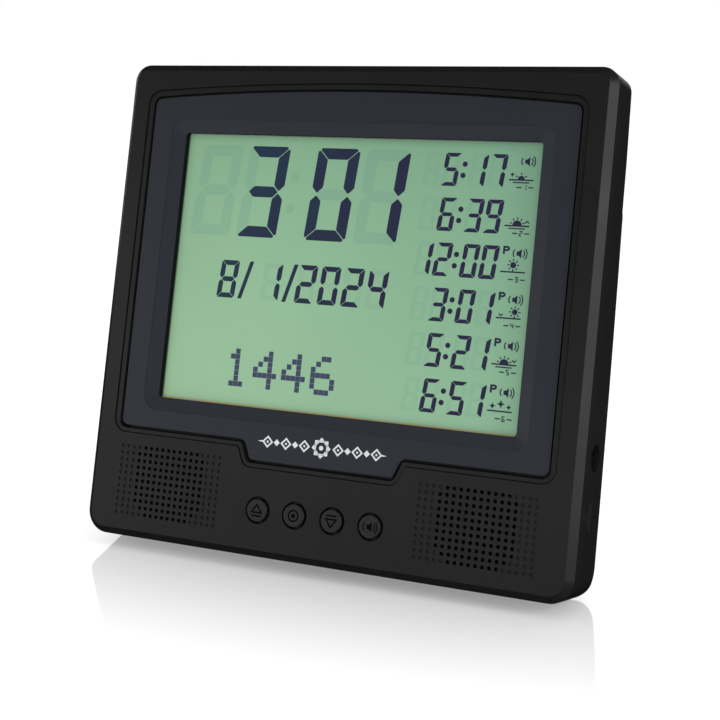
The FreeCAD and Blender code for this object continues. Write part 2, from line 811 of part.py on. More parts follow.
# ---- speakers --------------------------------------------------------------
def speaker_parts(side):
    """Basket, cone and magnet of the speaker on one side."""
    x = side * speaker_x
    back = wall + basket_depth

    def turned(points):
        """Ring or disc turned about the speaker's axis from radius and depth pairs."""
        outline = Part.makePolygon([V(x + radius, y, speaker_z) for radius, y in points])
        return Part.Face(outline).revolve(V(x, 0, speaker_z), Y_AXIS, 360)

    def basket_radius(y):
        """Inside radius of the basket at a depth."""
        share = (y - wall) / (back - cone_thick - wall)
        return rim_radius + (basket_back_radius - rim_radius) * share

    rim_radius = cone_radius + basket_wall
    basket = turned([
        (rim_radius, wall), (speaker_radius, wall), (speaker_radius, speaker_seat),
        (rim_radius + basket_wall / 2, speaker_seat), (basket_back_radius + basket_wall, back),
        (throat_radius, back), (throat_radius, back - cone_thick),
        (basket_back_radius, back - cone_thick), (rim_radius, wall),
    ])
    rim_front = wall + cone_thick / 2
    rim_back = rim_front + cone_thick * 1.5
    fold = cone_radius - cone_roll
    cone = turned([
        (0, back - dust_cap_front), (dust_cap_radius, back - dust_cap_edge),
        (fold - cone_roll, rim_front + cone_roll), (fold, rim_front),
        (basket_radius(rim_front), rim_front), (basket_radius(rim_back), rim_back),
        (fold, rim_back), (fold - cone_roll, rim_back + cone_roll),
        (dust_cap_radius - cone_roll, back - dust_cap_edge + dust_cap_thick),
        (0, back - dust_cap_front + dust_cap_thick), (0, back - dust_cap_front),
    ])
    spigot = back - magnet_spigot
    magnet = turned([
        (0, spigot), (throat_radius, spigot), (throat_radius, back), (magnet_radius, back),
        (magnet_radius, back + magnet_depth), (0, back + magnet_depth), (0, spigot),
    ])
    return basket, cone, magnet


def make_washers():
    """Clamp washers that hold the speaker flanges down."""
    radius = clamp_radius - speaker_radius + clamp_grip
    solids = [rod(radius, V(x, speaker_seat, z), washer_thick).cut(
        rod(small_screw_radius + fit_gap, V(x, 0, z), far)) for x, z in clamp_places]
    return Part.makeCompound(solids)


# ---- side wall controls ----------------------------------------------------
def make_wheel():
    """Volume wheel with a knurled rim and its shaft."""
    front = wheel_y - wheel_thick / 2
    wheel = rod(wheel_radius, V(wheel_x, front, wheel_z), wheel_thick)
    notches = []
    for index in range(wheel_notches):
        angle = 2 * math.pi * index / wheel_notches
        start = V(wheel_x + wheel_radius * math.cos(angle), front - past,
                  wheel_z + wheel_radius * math.sin(angle))
        notches.append(rod(wheel_notch_radius, start, wheel_thick + 2 * past))
    wheel = wheel.cut(Part.makeCompound(notches))
    shaft = rod(wheel_shaft_radius, V(wheel_x, wheel_y, wheel_z), pot_front + shaft_reach - wheel_y)
    return joined(wheel, shaft)


def make_pot():
    """Potentiometer body that carries the wheel's shaft."""
    half = pot_size / 2
    body = block(wheel_x - half, wheel_x + half, pot_front, side_board_front,
                 wheel_z - half, wheel_z + half)
    bore = rod(wheel_shaft_radius + shaft_clearance, V(wheel_x, 0, wheel_z),
               pot_front + shaft_reach + shaft_end_gap)
    return body.cut(bore)


def make_jack():
    """Power inlet: a round nose on a square body."""
    nose = rod(jack_radius, V(jack_back_x, jack_y, jack_z), jack_length, X_AXIS)
    half = jack_body / 2
    body = block(jack_back_x - jack_tail, jack_back_x + jack_length / 2, jack_y - half,
                 side_board_front, jack_z - half, jack_z + half)
    bore = rod(jack_bore_radius, V(jack_face_x - jack_bore_depth, jack_y, jack_z),
               jack_bore_depth, X_AXIS)
    pin_seat = rod(jack_pin_radius, V(jack_back_x, jack_y, jack_z), jack_length, X_AXIS)
    return joined(nose, body).cut(Part.makeCompound([bore, pin_seat]))


def make_jack_pin():
    """Centre pin of the power inlet, with a rounded tip."""
    length = jack_length - jack_pin_sunk
    pin = rod(jack_pin_radius, V(jack_back_x, jack_y, jack_z), length, X_AXIS)
    tip = [edge for edge in pin.Edges if abs(edge.CenterOfMass.x - jack_back_x - length) < tiny]
    return pin.makeFillet(jack_pin_radius / 2, tip)


def make_side_board():
    """Board that carries the volume control and the power inlet."""
    board = block(side_board_left, side_board_right, side_board_front,
                  side_board_front + side_board_thick,
                  wheel_z - side_board_below, jack_z + side_board_above)
    holes = [rod(small_screw_radius + fit_gap, V(x, 0, z), far) for x, z in side_screw_places]
    return board.cut(Part.makeCompound(holes))


# ---- battery bay -----------------------------------------------------------
bay_right = -(recess_half_w + pin_boss + bay_beside_leg)
bay_bottom = speaker_z + speaker_radius + bay_over_speaker
bay_left = bay_right - cell_length - cell_nub - 2 * bay_end
bay_top = bay_bottom + 4 * cell_radius + 3 * cell_gap
bay_floor = rear_y(bay_top) - door_thick - 2 * cell_radius - 2 * cell_gap
door_left = bay_left - door_rim
door_right = bay_right + door_rim
door_bottom = bay_bottom - door_rim
door_top = bay_top + door_rim
cell_y = bay_floor + cell_gap + cell_radius
cell_z = [bay_bottom + cell_gap + cell_radius, bay_top - cell_gap - cell_radius]
door_axis_y = rear_y(door_bottom)
door_tab_x = [door_left + (door_right - door_left) * share for share in (0.25, 0.75)]
door_tab_y = rear_y(door_bottom) - wall - door_gap


def skin(thickness):
    """Rear face of the case as a skin of the given thickness."""
    return outer_body.cut(case_body(thickness))


def make_door():
    """Battery door: a piece of the rear face with two hooks and a finger lip."""
    door = skin(door_thick).common(block(
        door_left + door_gap, door_right - door_gap, bay_floor, far,
        door_bottom + door_gap, door_top - door_gap))
    for x in door_tab_x:
        low = door_bottom + door_gap
        web = block(x - door_tab_half, x + door_tab_half, door_tab_y - door_tab_thick,
                    rear_y(door_bottom) - door_thick / 2, bay_bottom + door_gap,
                    bay_bottom + door_gap + door_tab_thick)
        hook = block(x - door_tab_half, x + door_tab_half, door_tab_y - door_tab_thick,
                     door_tab_y, low - door_tab_reach, bay_bottom + door_gap + door_tab_thick)
        door = joined(door, web, hook)
    middle = (door_left + door_right) / 2
    grip_z = door_top - grip_under
    grip = rod(grip_radius, V(middle - grip_half, rear_y(grip_z) + grip_radius - grip_depth, grip_z),
               2 * grip_half, X_AXIS)
    return door.cut(grip)


def make_cells():
    """Two round cells lying side by side and facing opposite ways."""
    cells = []
    for z, nub_side in zip(cell_z, (-1, 1)):
        start = bay_left + bay_end + (cell_nub if nub_side < 0 else 0)
        can = rod(cell_radius, V(start, cell_y, z), cell_length, X_AXIS)
        can = can.makeFillet(cell_edge_round, [edge for edge in can.Edges if edge.Curve.TypeId
                                   == "Part::GeomCircle"])
        nub_start = start - cell_nub if nub_side < 0 else start + cell_length
        nub = rod(cell_nub_radius, V(nub_start, cell_y, z), cell_nub, X_AXIS)
        cells.append(joined(can, nub))
    return cells


def make_contacts():
    """Contact plates at both ends of the bay, with a coil at each negative end."""
    plates = []
    coils = []
    for z, nub_side in zip(cell_z, (-1, 1)):
        for side, wall_x in ((-1, bay_left), (1, bay_right)):
            face = wall_x - side * contact_thick
            flat = block(min(wall_x, face), max(wall_x, face), cell_y - contact_half,
                         cell_y + contact_half, z - contact_half, z + contact_half)
            reach = bay_end - contact_thick
            if side == nub_side:
                rise = rod(cell_nub_radius, V(min(face, face - side * reach), cell_y, z),
                           reach, X_AXIS)
                plates.append(joined(flat, rise))
                continue
            plates.append(flat)
            coils.append(coil(face, -side, z, reach))
    return Part.makeCompound(plates), Part.makeCompound(coils)


def coil(face, direction, z, reach):
    """Contact spring wound round the cell's axis, lofted through sections of its wire."""
    rise = reach - spring_wire
    turns = round(rise / spring_pitch)
    steps = turns * spring_sections
    start = min(face, face + direction * reach) + spring_wire / 2
    sections = []
    for index in range(steps + 1):
        turn = 2 * math.pi * index / spring_sections
        outward = V(0, math.cos(turn), math.sin(turn))
        centre = V(start + rise * index / steps, cell_y, z) + outward * spring_radius
        forward = V(rise / turns / (2 * math.pi), -spring_radius * outward.z,
                    spring_radius * outward.y)
        upward = forward.cross(outward).normalize()
        corners = []
        for corner in range(spring_sides):
            angle = 2 * math.pi * corner / spring_sides
            offset = outward * math.cos(angle) + upward * math.sin(angle)
            corners.append(centre + offset * (spring_wire / 2))
        sections.append(Part.makePolygon(corners + corners[:1]))
    return Part.makeLoft(sections, True, True)


# ---- stand leg -------------------------------------------------------------
lean_rad = math.radians(lean)
open_rad = math.radians(leg_open)
recess_floor = rear_y(recess_top) - recess_depth
leg_axis_z = recess_top - leg_axis_drop
leg_axis_y = recess_floor + leg_clear + leg_thick / 2
leg_heel = ((leg_clear + leg_thick / 2 * (1 - math.cos(open_rad)) - leg_stop_gap)
            / math.sin(open_rad))


def table_height(y, z):
    """Height of a case-frame point once the clock is leaned back."""
    return z * math.cos(lean_rad) - y * math.sin(lean_rad)


round_centre_y = rear_y(rear_bottom_round) - rear_bottom_round
case_low = table_height(round_centre_y, rear_bottom_round) - rear_bottom_round
table = case_low - foot_drop
splay = math.radians(leg_open - lean)
leg_length = (table_height(leg_axis_y, leg_axis_z) - table) / math.cos(splay)


def below_table():
    """Everything under the table plane, in the case frame."""
    slab = block(-far, far, -far, far, table - far, table)
    return slab.rotate(V(0, 0, 0), X_AXIS, lean)


def opened(folded):
    """Swing a piece of the folded leg out to its standing position."""
    return folded.rotate(V(0, leg_axis_y, leg_axis_z), X_AXIS, leg_open)


def leg_slab(inset, y0, y1, length):
    """Tapered slab of the leg from its axis down, in the folded position."""
    bottom = leg_axis_z - length + inset
    top = leg_axis_z
    wide = leg_half_w - inset
    narrow = leg_tip_half_w - inset
    outline = Part.makePolygon([
        V(-wide, y0, top), V(wide, y0, top), V(narrow, y0, bottom), V(-narrow, y0, bottom),
        V(-wide, y0, top)])
    return Part.Face(outline).extrude(V(0, y1 - y0, 0))


def make_leg():
    """Stand leg with a hinge barrel, a heel that stops it and ribs inside."""
    front = leg_axis_y - leg_thick / 2
    back = leg_axis_y + leg_thick / 2
    length = leg_length - foot_pad_sole
    body = leg_slab(0, front, back, length)
    barrel = rod(leg_barrel_radius, V(-leg_half_w, leg_axis_y, leg_axis_z), 2 * leg_half_w, X_AXIS)
    heel = block(-leg_half_w, leg_half_w, front, leg_axis_y, leg_axis_z, leg_axis_z + leg_heel)
    body = joined(body, barrel, heel)
    hollow = leg_slab(leg_rib, front - past, back - leg_skin, length)
    keep = block(-far, far, -far, far, leg_axis_z - leg_barrel_radius - leg_rib, far)
    grip = block(-far, far, -far, far, -far, leg_axis_z - length + foot_pad_grip + leg_rib)
    rib = block(-leg_rib / 2, leg_rib / 2, -far, far, -far, far)
    body = body.cut(hollow.cut(keep).cut(grip).cut(rib))
    pin_hole = rod(pin_radius + running_gap, V(-far, leg_axis_y, leg_axis_z), 2 * far, X_AXIS)
    return opened(body.cut(pin_hole))


def make_foot_pad():
    """Rubber shoe on the leg's tip, its sole flat on the table."""
    front = leg_axis_y - leg_thick / 2
    back = leg_axis_y + leg_thick / 2
    length = leg_length - foot_pad_sole
    tip = leg_axis_z - length
    half = leg_tip_half_w + foot_pad_wall + foot_pad_spread
    shoe = block(-half, half, front - foot_pad_wall, back + foot_pad_wall,
                 tip - 2 * foot_pad_sole, tip + foot_pad_grip)
    shoe = rounded(shoe, foot_pad_wall, Z_AXIS)
    return opened(shoe.cut(leg_slab(0, front, back, length))).cut(below_table())


# ---- rear cover ------------------------------------------------------------
keyhole_z = case_height - keyhole_under_top
keyhole_room = keyhole_radius + keyhole_slot_half
keyhole_floor = rear_y(keyhole_z + keyhole_rise + keyhole_room) - wall - keyhole_depth
foot_x = case_width / 2 - foot_from_side
foot_rear = rear_y(0) - foot_back


def make_rear_cover():
    """Rear half of the case, with its lip, pockets, bosses and cut-outs."""
    cover = shell.cut(in_front_of_parting())
    lip = case_body(wall + fit_gap).cut(case_body(wall + fit_gap + lip_thick))
    lip = lip.common(in_front_of_parting(wall)).cut(in_front_of_parting(-lip_height))
    bridge = case_body(wall / 2).cut(case_body(wall + fit_gap + lip_thick))
    bridge = bridge.common(in_front_of_parting(wall)).cut(in_front_of_parting(fit_gap))

    blocks = [
        block(-recess_half_w - recess_wall, recess_half_w + recess_wall,
              recess_floor - recess_wall, far, -past, recess_top + recess_wall),
        block(-recess_half_w - pin_boss, recess_half_w + pin_boss, recess_floor - recess_wall, far,
              leg_axis_z - pin_boss, leg_axis_z + pin_boss),
        block(bay_left - bay_wall, bay_right + bay_wall, bay_floor - bay_wall, far,
              bay_bottom - bay_wall, bay_top + bay_wall),
        block(door_left - bay_wall, door_right + bay_wall,
              rear_y(bay_bottom) - door_thick - 2 * bay_wall, far,
              door_bottom - bay_wall - door_tab_reach, door_top + bay_wall),
    ]
    for side in (-1, 1):
        x = side * keyhole_x
        half = keyhole_radius + keyhole_slot_half + keyhole_wall
        blocks.append(block(x - half, x + half, keyhole_floor - keyhole_wall, far,
                            keyhole_z - half, keyhole_z + keyhole_rise + half))
        foot_reach = foot_half_length + wall
        blocks.append(block(side * foot_x - foot_reach, side * foot_x + foot_reach,
                            parting_y(0) + fit_gap, foot_rear + wall, -past, wall + foot_pocket))
    tubes = [rod(boss_radius + boss_sleeve, V(x, case_joint_y(z), z), far)
             for x, z in case_screw_places()]
    pockets = blocks[0].multiFuse(blocks[1:] + tubes).common(outer_body)
    cover = cover.multiFuse([lip, bridge, pockets])

    cuts = [
        block(-recess_half_w, recess_half_w, recess_floor, far, -far, recess_top),
        rod(pin_radius + screw_clear, V(-recess_half_w - pin_boss, leg_axis_y, leg_axis_z),
            2 * (recess_half_w + pin_boss), X_AXIS),
        block(bay_left, bay_right, bay_floor, far, bay_bottom, bay_top),
        case_body(0.0).cut(case_body(door_thick)).common(
            block(door_left, door_right, bay_floor, far, door_bottom, door_top)),
    ]
    for x in door_tab_x:
        half = door_tab_half + door_gap
        slot_floor = door_tab_y - 2 * door_tab_thick - door_gap
        cuts.append(block(x - half, x + half, slot_floor, door_tab_y + door_gap,
                          door_bottom - door_tab_reach - door_gap, bay_bottom + past))
        cuts.append(block(x - half, x + half, slot_floor, door_axis_y - door_thick / 2,
                          door_bottom, bay_bottom + past))
    middle = (door_left + door_right) / 2
    grip_z = door_top + grip_under / 2
    cuts.append(rod(grip_radius, V(middle - grip_half, rear_y(grip_z) + grip_radius - 2 * grip_depth,
                                   grip_z), 2 * grip_half, X_AXIS))
    for x, z in case_screw_places():
        seat = case_joint_y(z) + cover_seat
        cuts.append(rod(screw_radius + fit_gap, V(x, 0, z), far))
        cuts.append(rod(screw_head_radius + 2 * fit_gap, V(x, seat, z), far))
    cuts.append(rod(jack_hole_radius, V(0, jack_y, jack_z), far, X_AXIS))
    for side in (-1, 1):
        x = side * keyhole_x
        slot_top = keyhole_z + keyhole_rise
        cuts.append(block(x - keyhole_room, x + keyhole_room, keyhole_floor,
                          keyhole_floor + keyhole_depth,
                          keyhole_z - keyhole_room, slot_top + keyhole_room))
        cuts.append(rod(keyhole_radius, V(x, keyhole_floor, keyhole_z), far))
        cuts.append(rod(keyhole_slot_half, V(x, keyhole_floor, slot_top), far))
        cuts.append(block(x - keyhole_slot_half, x + keyhole_slot_half, keyhole_floor, far,
                          keyhole_z, slot_top))
        for index in range(vent_slots):
            z = speaker_z + (index - (vent_slots - 1) / 2) * vent_pitch
            low = side * speaker_x - vent_half_length
            slot = block(low, low + 2 * vent_half_length, round_centre_y, far,
                         z - vent_half_height, z + vent_half_height)
            cuts.append(slot)
        cuts.append(foot_blank(side, 0.0))
    return cover.cut(Part.makeCompound(cuts)).removeSplitter()


def foot_blank(side, drop):
    """Rubber foot before its sole is cut, or its pocket in the cover."""
    centre = side * foot_x
    low = -far if drop else -past
    pad = block(centre - foot_half_length, centre + foot_half_length,
                foot_rear - foot_width, foot_rear, low, foot_pocket)
    return rounded(pad, foot_round, Z_AXIS)


def make_foot(side):
    """Rubber foot with a sole that lies flat on the table."""
    return foot_blank(side, foot_drop).cut(below_table())


# ---- all pieces ------------------------------------------------------------
parts["front_case"] = make_front_case()
parts["rear_cover"] = make_rear_cover()
parts["display_bezel"] = make_bezel()
parts["window_gasket"] = make_gasket()
parts["lcd_polariser"] = block(
    polariser_inset - glass_half_w, glass_half_w - polariser_inset, gasket_back, polariser_back,
    stack_bottom + polariser_inset, stack_top)
parts["lcd_front_glass"] = stack_layer(
    glass_half_w, polariser_back, front_glass_back, display_z + glass_half_h)
parts["lcd_rear_glass"] = stack_layer(glass_half_w, front_glass_back, rear_glass_back, stack_top)
parts["light_guide"] = stack_layer(guide_half_w, rear_glass_back, guide_back, stack_top)
parts["reflector_sheet"] = stack_layer(glass_half_w, guide_back, reflector_back, stack_top)
parts["backlight_leds"] = make_leds()
parts["lcd_holder"] = make_holder()
parts["contact_strip"] = block(
    contact_inset - glass_half_w, glass_half_w - contact_inset, front_glass_back,
    board_front, stack_top + contact_edge, display_z + glass_half_h - contact_edge)
parts["main_board"] = make_main_board()
parts["board_chips"] = make_chips()
parts["board_components"] = make_components()
parts["key_board"] = make_key_board()
parts["key_switches"] = make_switches()
for name, button_centre in zip(button_names, button_x):
    parts["button_" + name] = make_button(button_centre)
    parts["plunger_" + name] = rod(plunger_radius, V(button_centre, stem_back, button_z),
                                   plunger_length)
for label, side_sign in (("left", -1), ("right", 1)):
    speaker = speaker_parts(side_sign)
    for piece_name, piece in zip(("basket", "cone", "magnet"), speaker):
        parts["speaker_" + label + "_" + piece_name] = piece
    parts["foot_" + label] = make_foot(side_sign)
parts["speaker_washers"] = make_washers()
parts["volume_wheel"] = make_wheel()
parts["volume_control"] = make_pot()
parts["power_jack"] = make_jack()
parts["power_jack_pin"] = make_jack_pin()
parts["side_board"] = make_side_board()
parts["battery_door"] = make_door()
parts["battery_cell_lower"], parts["battery_cell_upper"] = make_cells()
parts["battery_contacts"], parts["battery_springs"] = make_contacts()
parts["stand_leg"] = make_leg()
pin_half = recess_half_w + pin_boss - pin_end_gap
parts["stand_pin"] = rod(pin_radius, V(-pin_half, leg_axis_y, leg_axis_z), 2 * pin_half, X_AXIS)
parts["stand_foot_pad"] = make_foot_pad()
parts["case_screws"] = Part.makeCompound([
    screw(x, z, case_joint_y(z) + cover_seat, cover_seat + screw_bite - screw_tip_gap,
          screw_radius, screw_head_radius, screw_head) for x, z in case_screw_places()])
parts["holder_screws"] = small_screws(holder_screw_places, holder_back)
parts["board_screws"] = small_screws(board_screw_places, board_back,
                                     board_back - reflector_back - fit_gap)
parts["key_board_screws"] = small_screws(key_screw_places, key_board_front + key_board_thick)
parts["side_board_screws"] = small_screws(side_screw_places, side_board_front + side_board_thick)
parts["speaker_screws"] = small_screws(clamp_places, speaker_seat + washer_thick,
                                       speaker_flange + washer_thick + wall / 2)


# ---- stand it up and write it out ------------------------------------------
def leaned(shape):
    """Tip a piece from the case frame to the standing clock's angle."""
    return shape.rotate(V(0, 0, 0), X_AXIS, -lean)


for name in parts:
    parts[name] = leaned(parts[name])
footprint = Part.makeCompound(list(parts.values())).optimalBoundingBox(False)
origin = V(footprint.Center.x, footprint.Center.y, footprint.ZMin)

os.makedirs("parts", exist_ok=True)
for name, shape in parts.items():
    shape.translate(V(0, 0, 0) - origin)
    shape.exportStep("parts/" + name + ".step")


def row_point(x, y, z):
    """A case-frame point in the leaned frame, in metres."""
    height = table_height(y, z)
    depth = y * math.cos(lean_rad) + z * math.sin(lean_rad)
    place = (V(x, depth, height) - origin) * 0.001
    return tuple(round(value, 6) for value in place)


print("origin", origin)
print("size", footprint.XLength, footprint.YLength, footprint.ZLength)
print("press axis", (0, round(math.cos(lean_rad), 6), round(-math.sin(lean_rad), 6)))
print("leg axis point", row_point(0, leg_axis_y, leg_axis_z))
print("door axis point", row_point(bay_left, door_axis_y, door_bottom))
print("wheel axis point", row_point(wheel_x, wheel_y, wheel_z))
print("keyhole points", row_point(-keyhole_x, rear_y(keyhole_z), keyhole_z),
      row_point(keyhole_x, rear_y(keyhole_z), keyhole_z))
print("foot sole", row_point(foot_x, foot_rear - foot_width / 2, 0)[:2])
print("jack point", row_point(jack_face_x, jack_y, jack_z))
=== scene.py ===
"""Finishes, display, symbols, room and camera for the leaning prayer-time desk clock."""
import math
from collections import namedtuple

import bmesh
import bpy
from bpy.props import FloatProperty, FloatVectorProperty, PointerProperty, StringProperty
from mathutils import Matrix, Vector


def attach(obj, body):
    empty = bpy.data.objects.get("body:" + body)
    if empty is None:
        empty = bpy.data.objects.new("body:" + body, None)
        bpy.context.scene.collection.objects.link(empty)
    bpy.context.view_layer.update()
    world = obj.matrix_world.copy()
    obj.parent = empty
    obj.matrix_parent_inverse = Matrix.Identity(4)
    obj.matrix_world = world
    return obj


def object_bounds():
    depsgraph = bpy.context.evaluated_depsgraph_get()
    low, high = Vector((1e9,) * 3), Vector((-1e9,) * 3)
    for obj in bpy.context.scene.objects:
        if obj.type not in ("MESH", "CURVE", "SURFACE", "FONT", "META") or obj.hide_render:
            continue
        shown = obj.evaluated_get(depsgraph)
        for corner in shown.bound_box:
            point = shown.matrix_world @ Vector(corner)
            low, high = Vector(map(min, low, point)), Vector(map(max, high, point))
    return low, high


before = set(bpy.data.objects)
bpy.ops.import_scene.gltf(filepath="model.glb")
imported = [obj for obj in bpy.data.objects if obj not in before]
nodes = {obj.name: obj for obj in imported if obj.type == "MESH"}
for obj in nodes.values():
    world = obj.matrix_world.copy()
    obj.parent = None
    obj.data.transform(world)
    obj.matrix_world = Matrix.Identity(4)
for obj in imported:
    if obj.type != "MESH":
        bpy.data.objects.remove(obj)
cad_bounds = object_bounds()

bl_info = {
    "name": "Prayer-time desk clock",
    "version": (1, 0, 0),
    "blender": (4, 5, 0),
    "location": "View3D > Sidebar > Clock",
    "description": "Dresses the packed clock and sets it on a white studio floor",
    "category": "Object",
}

MM = 0.001
LEAN = math.radians(14.0)  # the case leans back by this much
FACE_FOOT = (0.0, -0.042015, 0.0067275)  # middle of the lower edge of the case's face
# The case frame: x right, y from the front face inward, z up along it from its lower edge.
CASE = Matrix.Translation(FACE_FOOT) @ Matrix.Rotation(-LEAN, 4, "X")
# The same for the right side wall: x rearward, y inward from it.
SIDE = CASE @ Matrix.Translation((cad_bounds[1][0], 0, 0)) @ Matrix.Rotation(math.pi / 2, 4, "Z")

# Depths behind the case's face, mm.
FILM_FRONT = 6.3
PANEL_FRONT = 1.4
STEP_FRONT = 0.6  # the sunk band round the panel
KEY_FRONT = -0.8  # the caps stand proud
INK = 0.04  # thickness of a printed or foiled mark

KEYS = ("up", "set", "down", "sound")
KEY_Z = 20.2
KEY_PITCH = 18.0
KEY_HOLE_RADIUS = 5.7


def linear(colour):
    """An sRGB hex colour as linear red, green and blue."""
    values = [int(colour[index:index + 2], 16) / 255 for index in (1, 3, 5)]
    return tuple(v / 12.92 if v <= 0.04045 else ((v + 0.055) / 1.055) ** 2.4 for v in values)


def rgba(colour, share=1.0):
    """Linear colour with full alpha, from a hex value or a colour setting, times a share."""
    values = linear(colour) if isinstance(colour, str) else colour
    return (*(value * share for value in values), 1.0)


# ---- settings ----------------------------------------------------------------
def colour_setting(name, text, default):
    """Colour property whose default is an sRGB hex value."""
    return FloatVectorProperty(name=name, description=text, subtype="COLOR", size=3,
                               min=0.0, max=1.0, default=linear(default))


def length_setting(name, text, default):
    """Length property in metres, shown in the scene's units."""
    return FloatProperty(name=name, description=text, subtype="DISTANCE", unit="LENGTH",
                         min=0.0, precision=5, default=default)


class ClockCaseSettings(bpy.types.PropertyGroup):
    """Colours and grain of the moulded case, panel and keys."""

    case_colour: colour_setting("Case", "Colour of the moulded ABS case", "#1c1c1c")
    panel_colour: colour_setting("Panel", "Colour of the sunk display panel", "#292c33")
    key_colour: colour_setting("Keys", "Colour of the round keys", "#232324")
    foil_colour: colour_setting("Ornament", "Colour of the foil ornament", "#c9cbcd")
    grain: length_setting("Grain", "Size of the spark-eroded grain", 0.0009)


class ClockDisplaySettings(bpy.types.PropertyGroup):
    """What the display says, and its colours."""

    time_text: StringProperty(name="Time", default=" 3 01",
                              description="Four digits of the time, with its colon place third")
    date_text: StringProperty(name="Date", default="8/ 1/2024", description="Day, month and year")
    matrix_text: StringProperty(name="Matrix", default="1446",
                                description="Digits of the dot matrix at the lower left")
    row_texts: StringProperty(name="Times", default="5:17 6:39 12:00 3:01 5:21 6:51",
                              description="The day's six times, from the top row down")
    film_colour: colour_setting("Film", "Green of the lit display", "#8cb592")
    segment_colour: colour_setting("Segments", "Colour of a dark segment", "#243548")
    ghost_colour: colour_setting("Unlit", "Tint of an unlit segment", "#4f7f86")


class ClockStageSettings(bpy.types.PropertyGroup):
    """Room light, floor and camera."""

    key_power: FloatProperty(name="Key lamp", description="Power of the large lamp at the left",
                             subtype="POWER", unit="POWER", min=0.0, default=2.6)
    low_power: FloatProperty(name="Low lamp", description="Power of the low strip in front",
                             subtype="POWER", unit="POWER", min=0.0, default=0.5)
    rim_power: FloatProperty(name="Rim lamp", description="Power of the strip lamp at the right",
                             subtype="POWER", unit="POWER", min=0.0, default=5.8)
    room_strength: FloatProperty(name="Room", description="Strength of the light from all round",
                                 min=0.0, default=0.72)
    floor_gloss: FloatProperty(name="Floor gloss", subtype="FACTOR", min=0.0, max=1.0,
                               description="How strongly the floor mirrors the clock", default=0.45)
    lens: FloatProperty(name="Lens", description="Focal length of the camera",
                        subtype="DISTANCE_CAMERA", unit="CAMERA", min=1.0, default=75.07)


# ---- small tools ---------------------------------------------------------------
def add(tree, kind, inputs=None, **settings):
    """Add a shader node with its settings, and give its sockets values or links."""
    node = tree.nodes.new("ShaderNode" + kind)
    for name, value in settings.items():
        setattr(node, name, value)
    for name, value in (inputs or {}).items():
        if isinstance(value, bpy.types.NodeSocket):
            tree.links.new(value, node.inputs[name])
        else:
            node.inputs[name].default_value = value
    return node


def new_material(name):
    """Empty node material, its tree, and the place on the object that its patterns follow."""
    material = bpy.data.materials.new(name)
    material.use_nodes = True
    tree = material.node_tree
    tree.nodes.clear()
    return material, tree, add(tree, "TexCoord").outputs["Object"]


def finish_surface(tree, shader):
    """Give the material its output, with this shader on it."""
    add(tree, "OutputMaterial", {"Surface": shader.outputs[0]})


def pool(tree, where, centre, reach):
    """Share that falls from 1 at a centre to 0 at its reach along x, y and z; 0 skips an axis."""
    scale = [1 / length if length else 0.0 for length in reach]
    spread = add(tree, "Mapping", {
        "Vector": where, "Location": [-c * s for c, s in zip(centre, scale)], "Scale": scale})
    return add(tree, "TexGradient", {"Vector": spread.outputs["Vector"]},
               gradient_type="SPHERICAL").outputs["Fac"]


def seen_by(tree, *rays):
    """1 for the named kinds of ray and 0 for the others."""
    path = add(tree, "LightPath")
    share = path.outputs[rays[0]]
    for ray in rays[1:]:
        share = add(tree, "Math", {0: share, 1: path.outputs[ray]},
                    operation="MAXIMUM").outputs[0]
    return share


def wave_scale(length):
    """Scale at which a wave texture repeats over a length, as it turns 20 times as fast."""
    return math.tau / 20 / length


def dress(material, *names):
    """Give CAD nodes a material."""
    for name in names:
        mesh = nodes[name].data
        mesh.materials.clear()
        mesh.materials.append(material)


def prisms(name, outlines, front, back, body, material, place=CASE):
    """One mesh of closed flat prisms from outlines in x and z, between two depths in mm."""
    bm = bmesh.new()
    for outline in outlines:
        rings = [[bm.verts.new((x, y, z)) for x, z in outline] for y in (front, back)]
        bm.faces.new(rings[0])
        bm.faces.new(reversed(rings[1]))
        for index in range(len(outline)):
            following = (index + 1) % len(outline)
            bm.faces.new((rings[0][index], rings[1][index],
                          rings[1][following], rings[0][following]))
    bmesh.ops.recalc_face_normals(bm, faces=bm.faces)
    bm.transform(place @ Matrix.Scale(MM, 4))
    mesh = bpy.data.meshes.new(name)
    bm.to_mesh(mesh)
    bm.free()
    mesh.materials.append(material)
    piece = bpy.data.objects.new(name, mesh)
    bpy.context.scene.collection.objects.link(piece)
    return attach(piece, body)


# ---- outlines, in mm, as lists of x and z --------------------------------------------
def moved(outline, x, z, scale=1.0):
    """Outline scaled about its origin and moved."""
    return [(x + px * scale, z + pz * scale) for px, pz in outline]


def softened(outline, radius):
    """Outline with each corner cut to a short round of about the radius."""
    made = []
    for index, corner in enumerate(outline):
        here = Vector(corner)
        for other in (Vector(outline[index - 1]), Vector(outline[(index + 1) % len(outline)])):
            reach = min(radius, (other - here).length * 0.4)
            made.append(here + (other - here).normalized() * reach)
        before, after = made[-2:]
        middle = (before + here * 2 + after) / 4
        made[-1:] = [middle, after]
    return [tuple(point) for point in made]


def disc(x, z, radius, start=0.0, stop=360.0, steps=28):
    """Full or part disc between two angles in degrees."""
    whole = stop - start >= 360.0
    count = steps if whole else steps + 1
    angles = [math.radians(start + (stop - start) * index / steps) for index in range(count)]
    return [(x + radius * math.cos(a), z + radius * math.sin(a)) for a in angles]


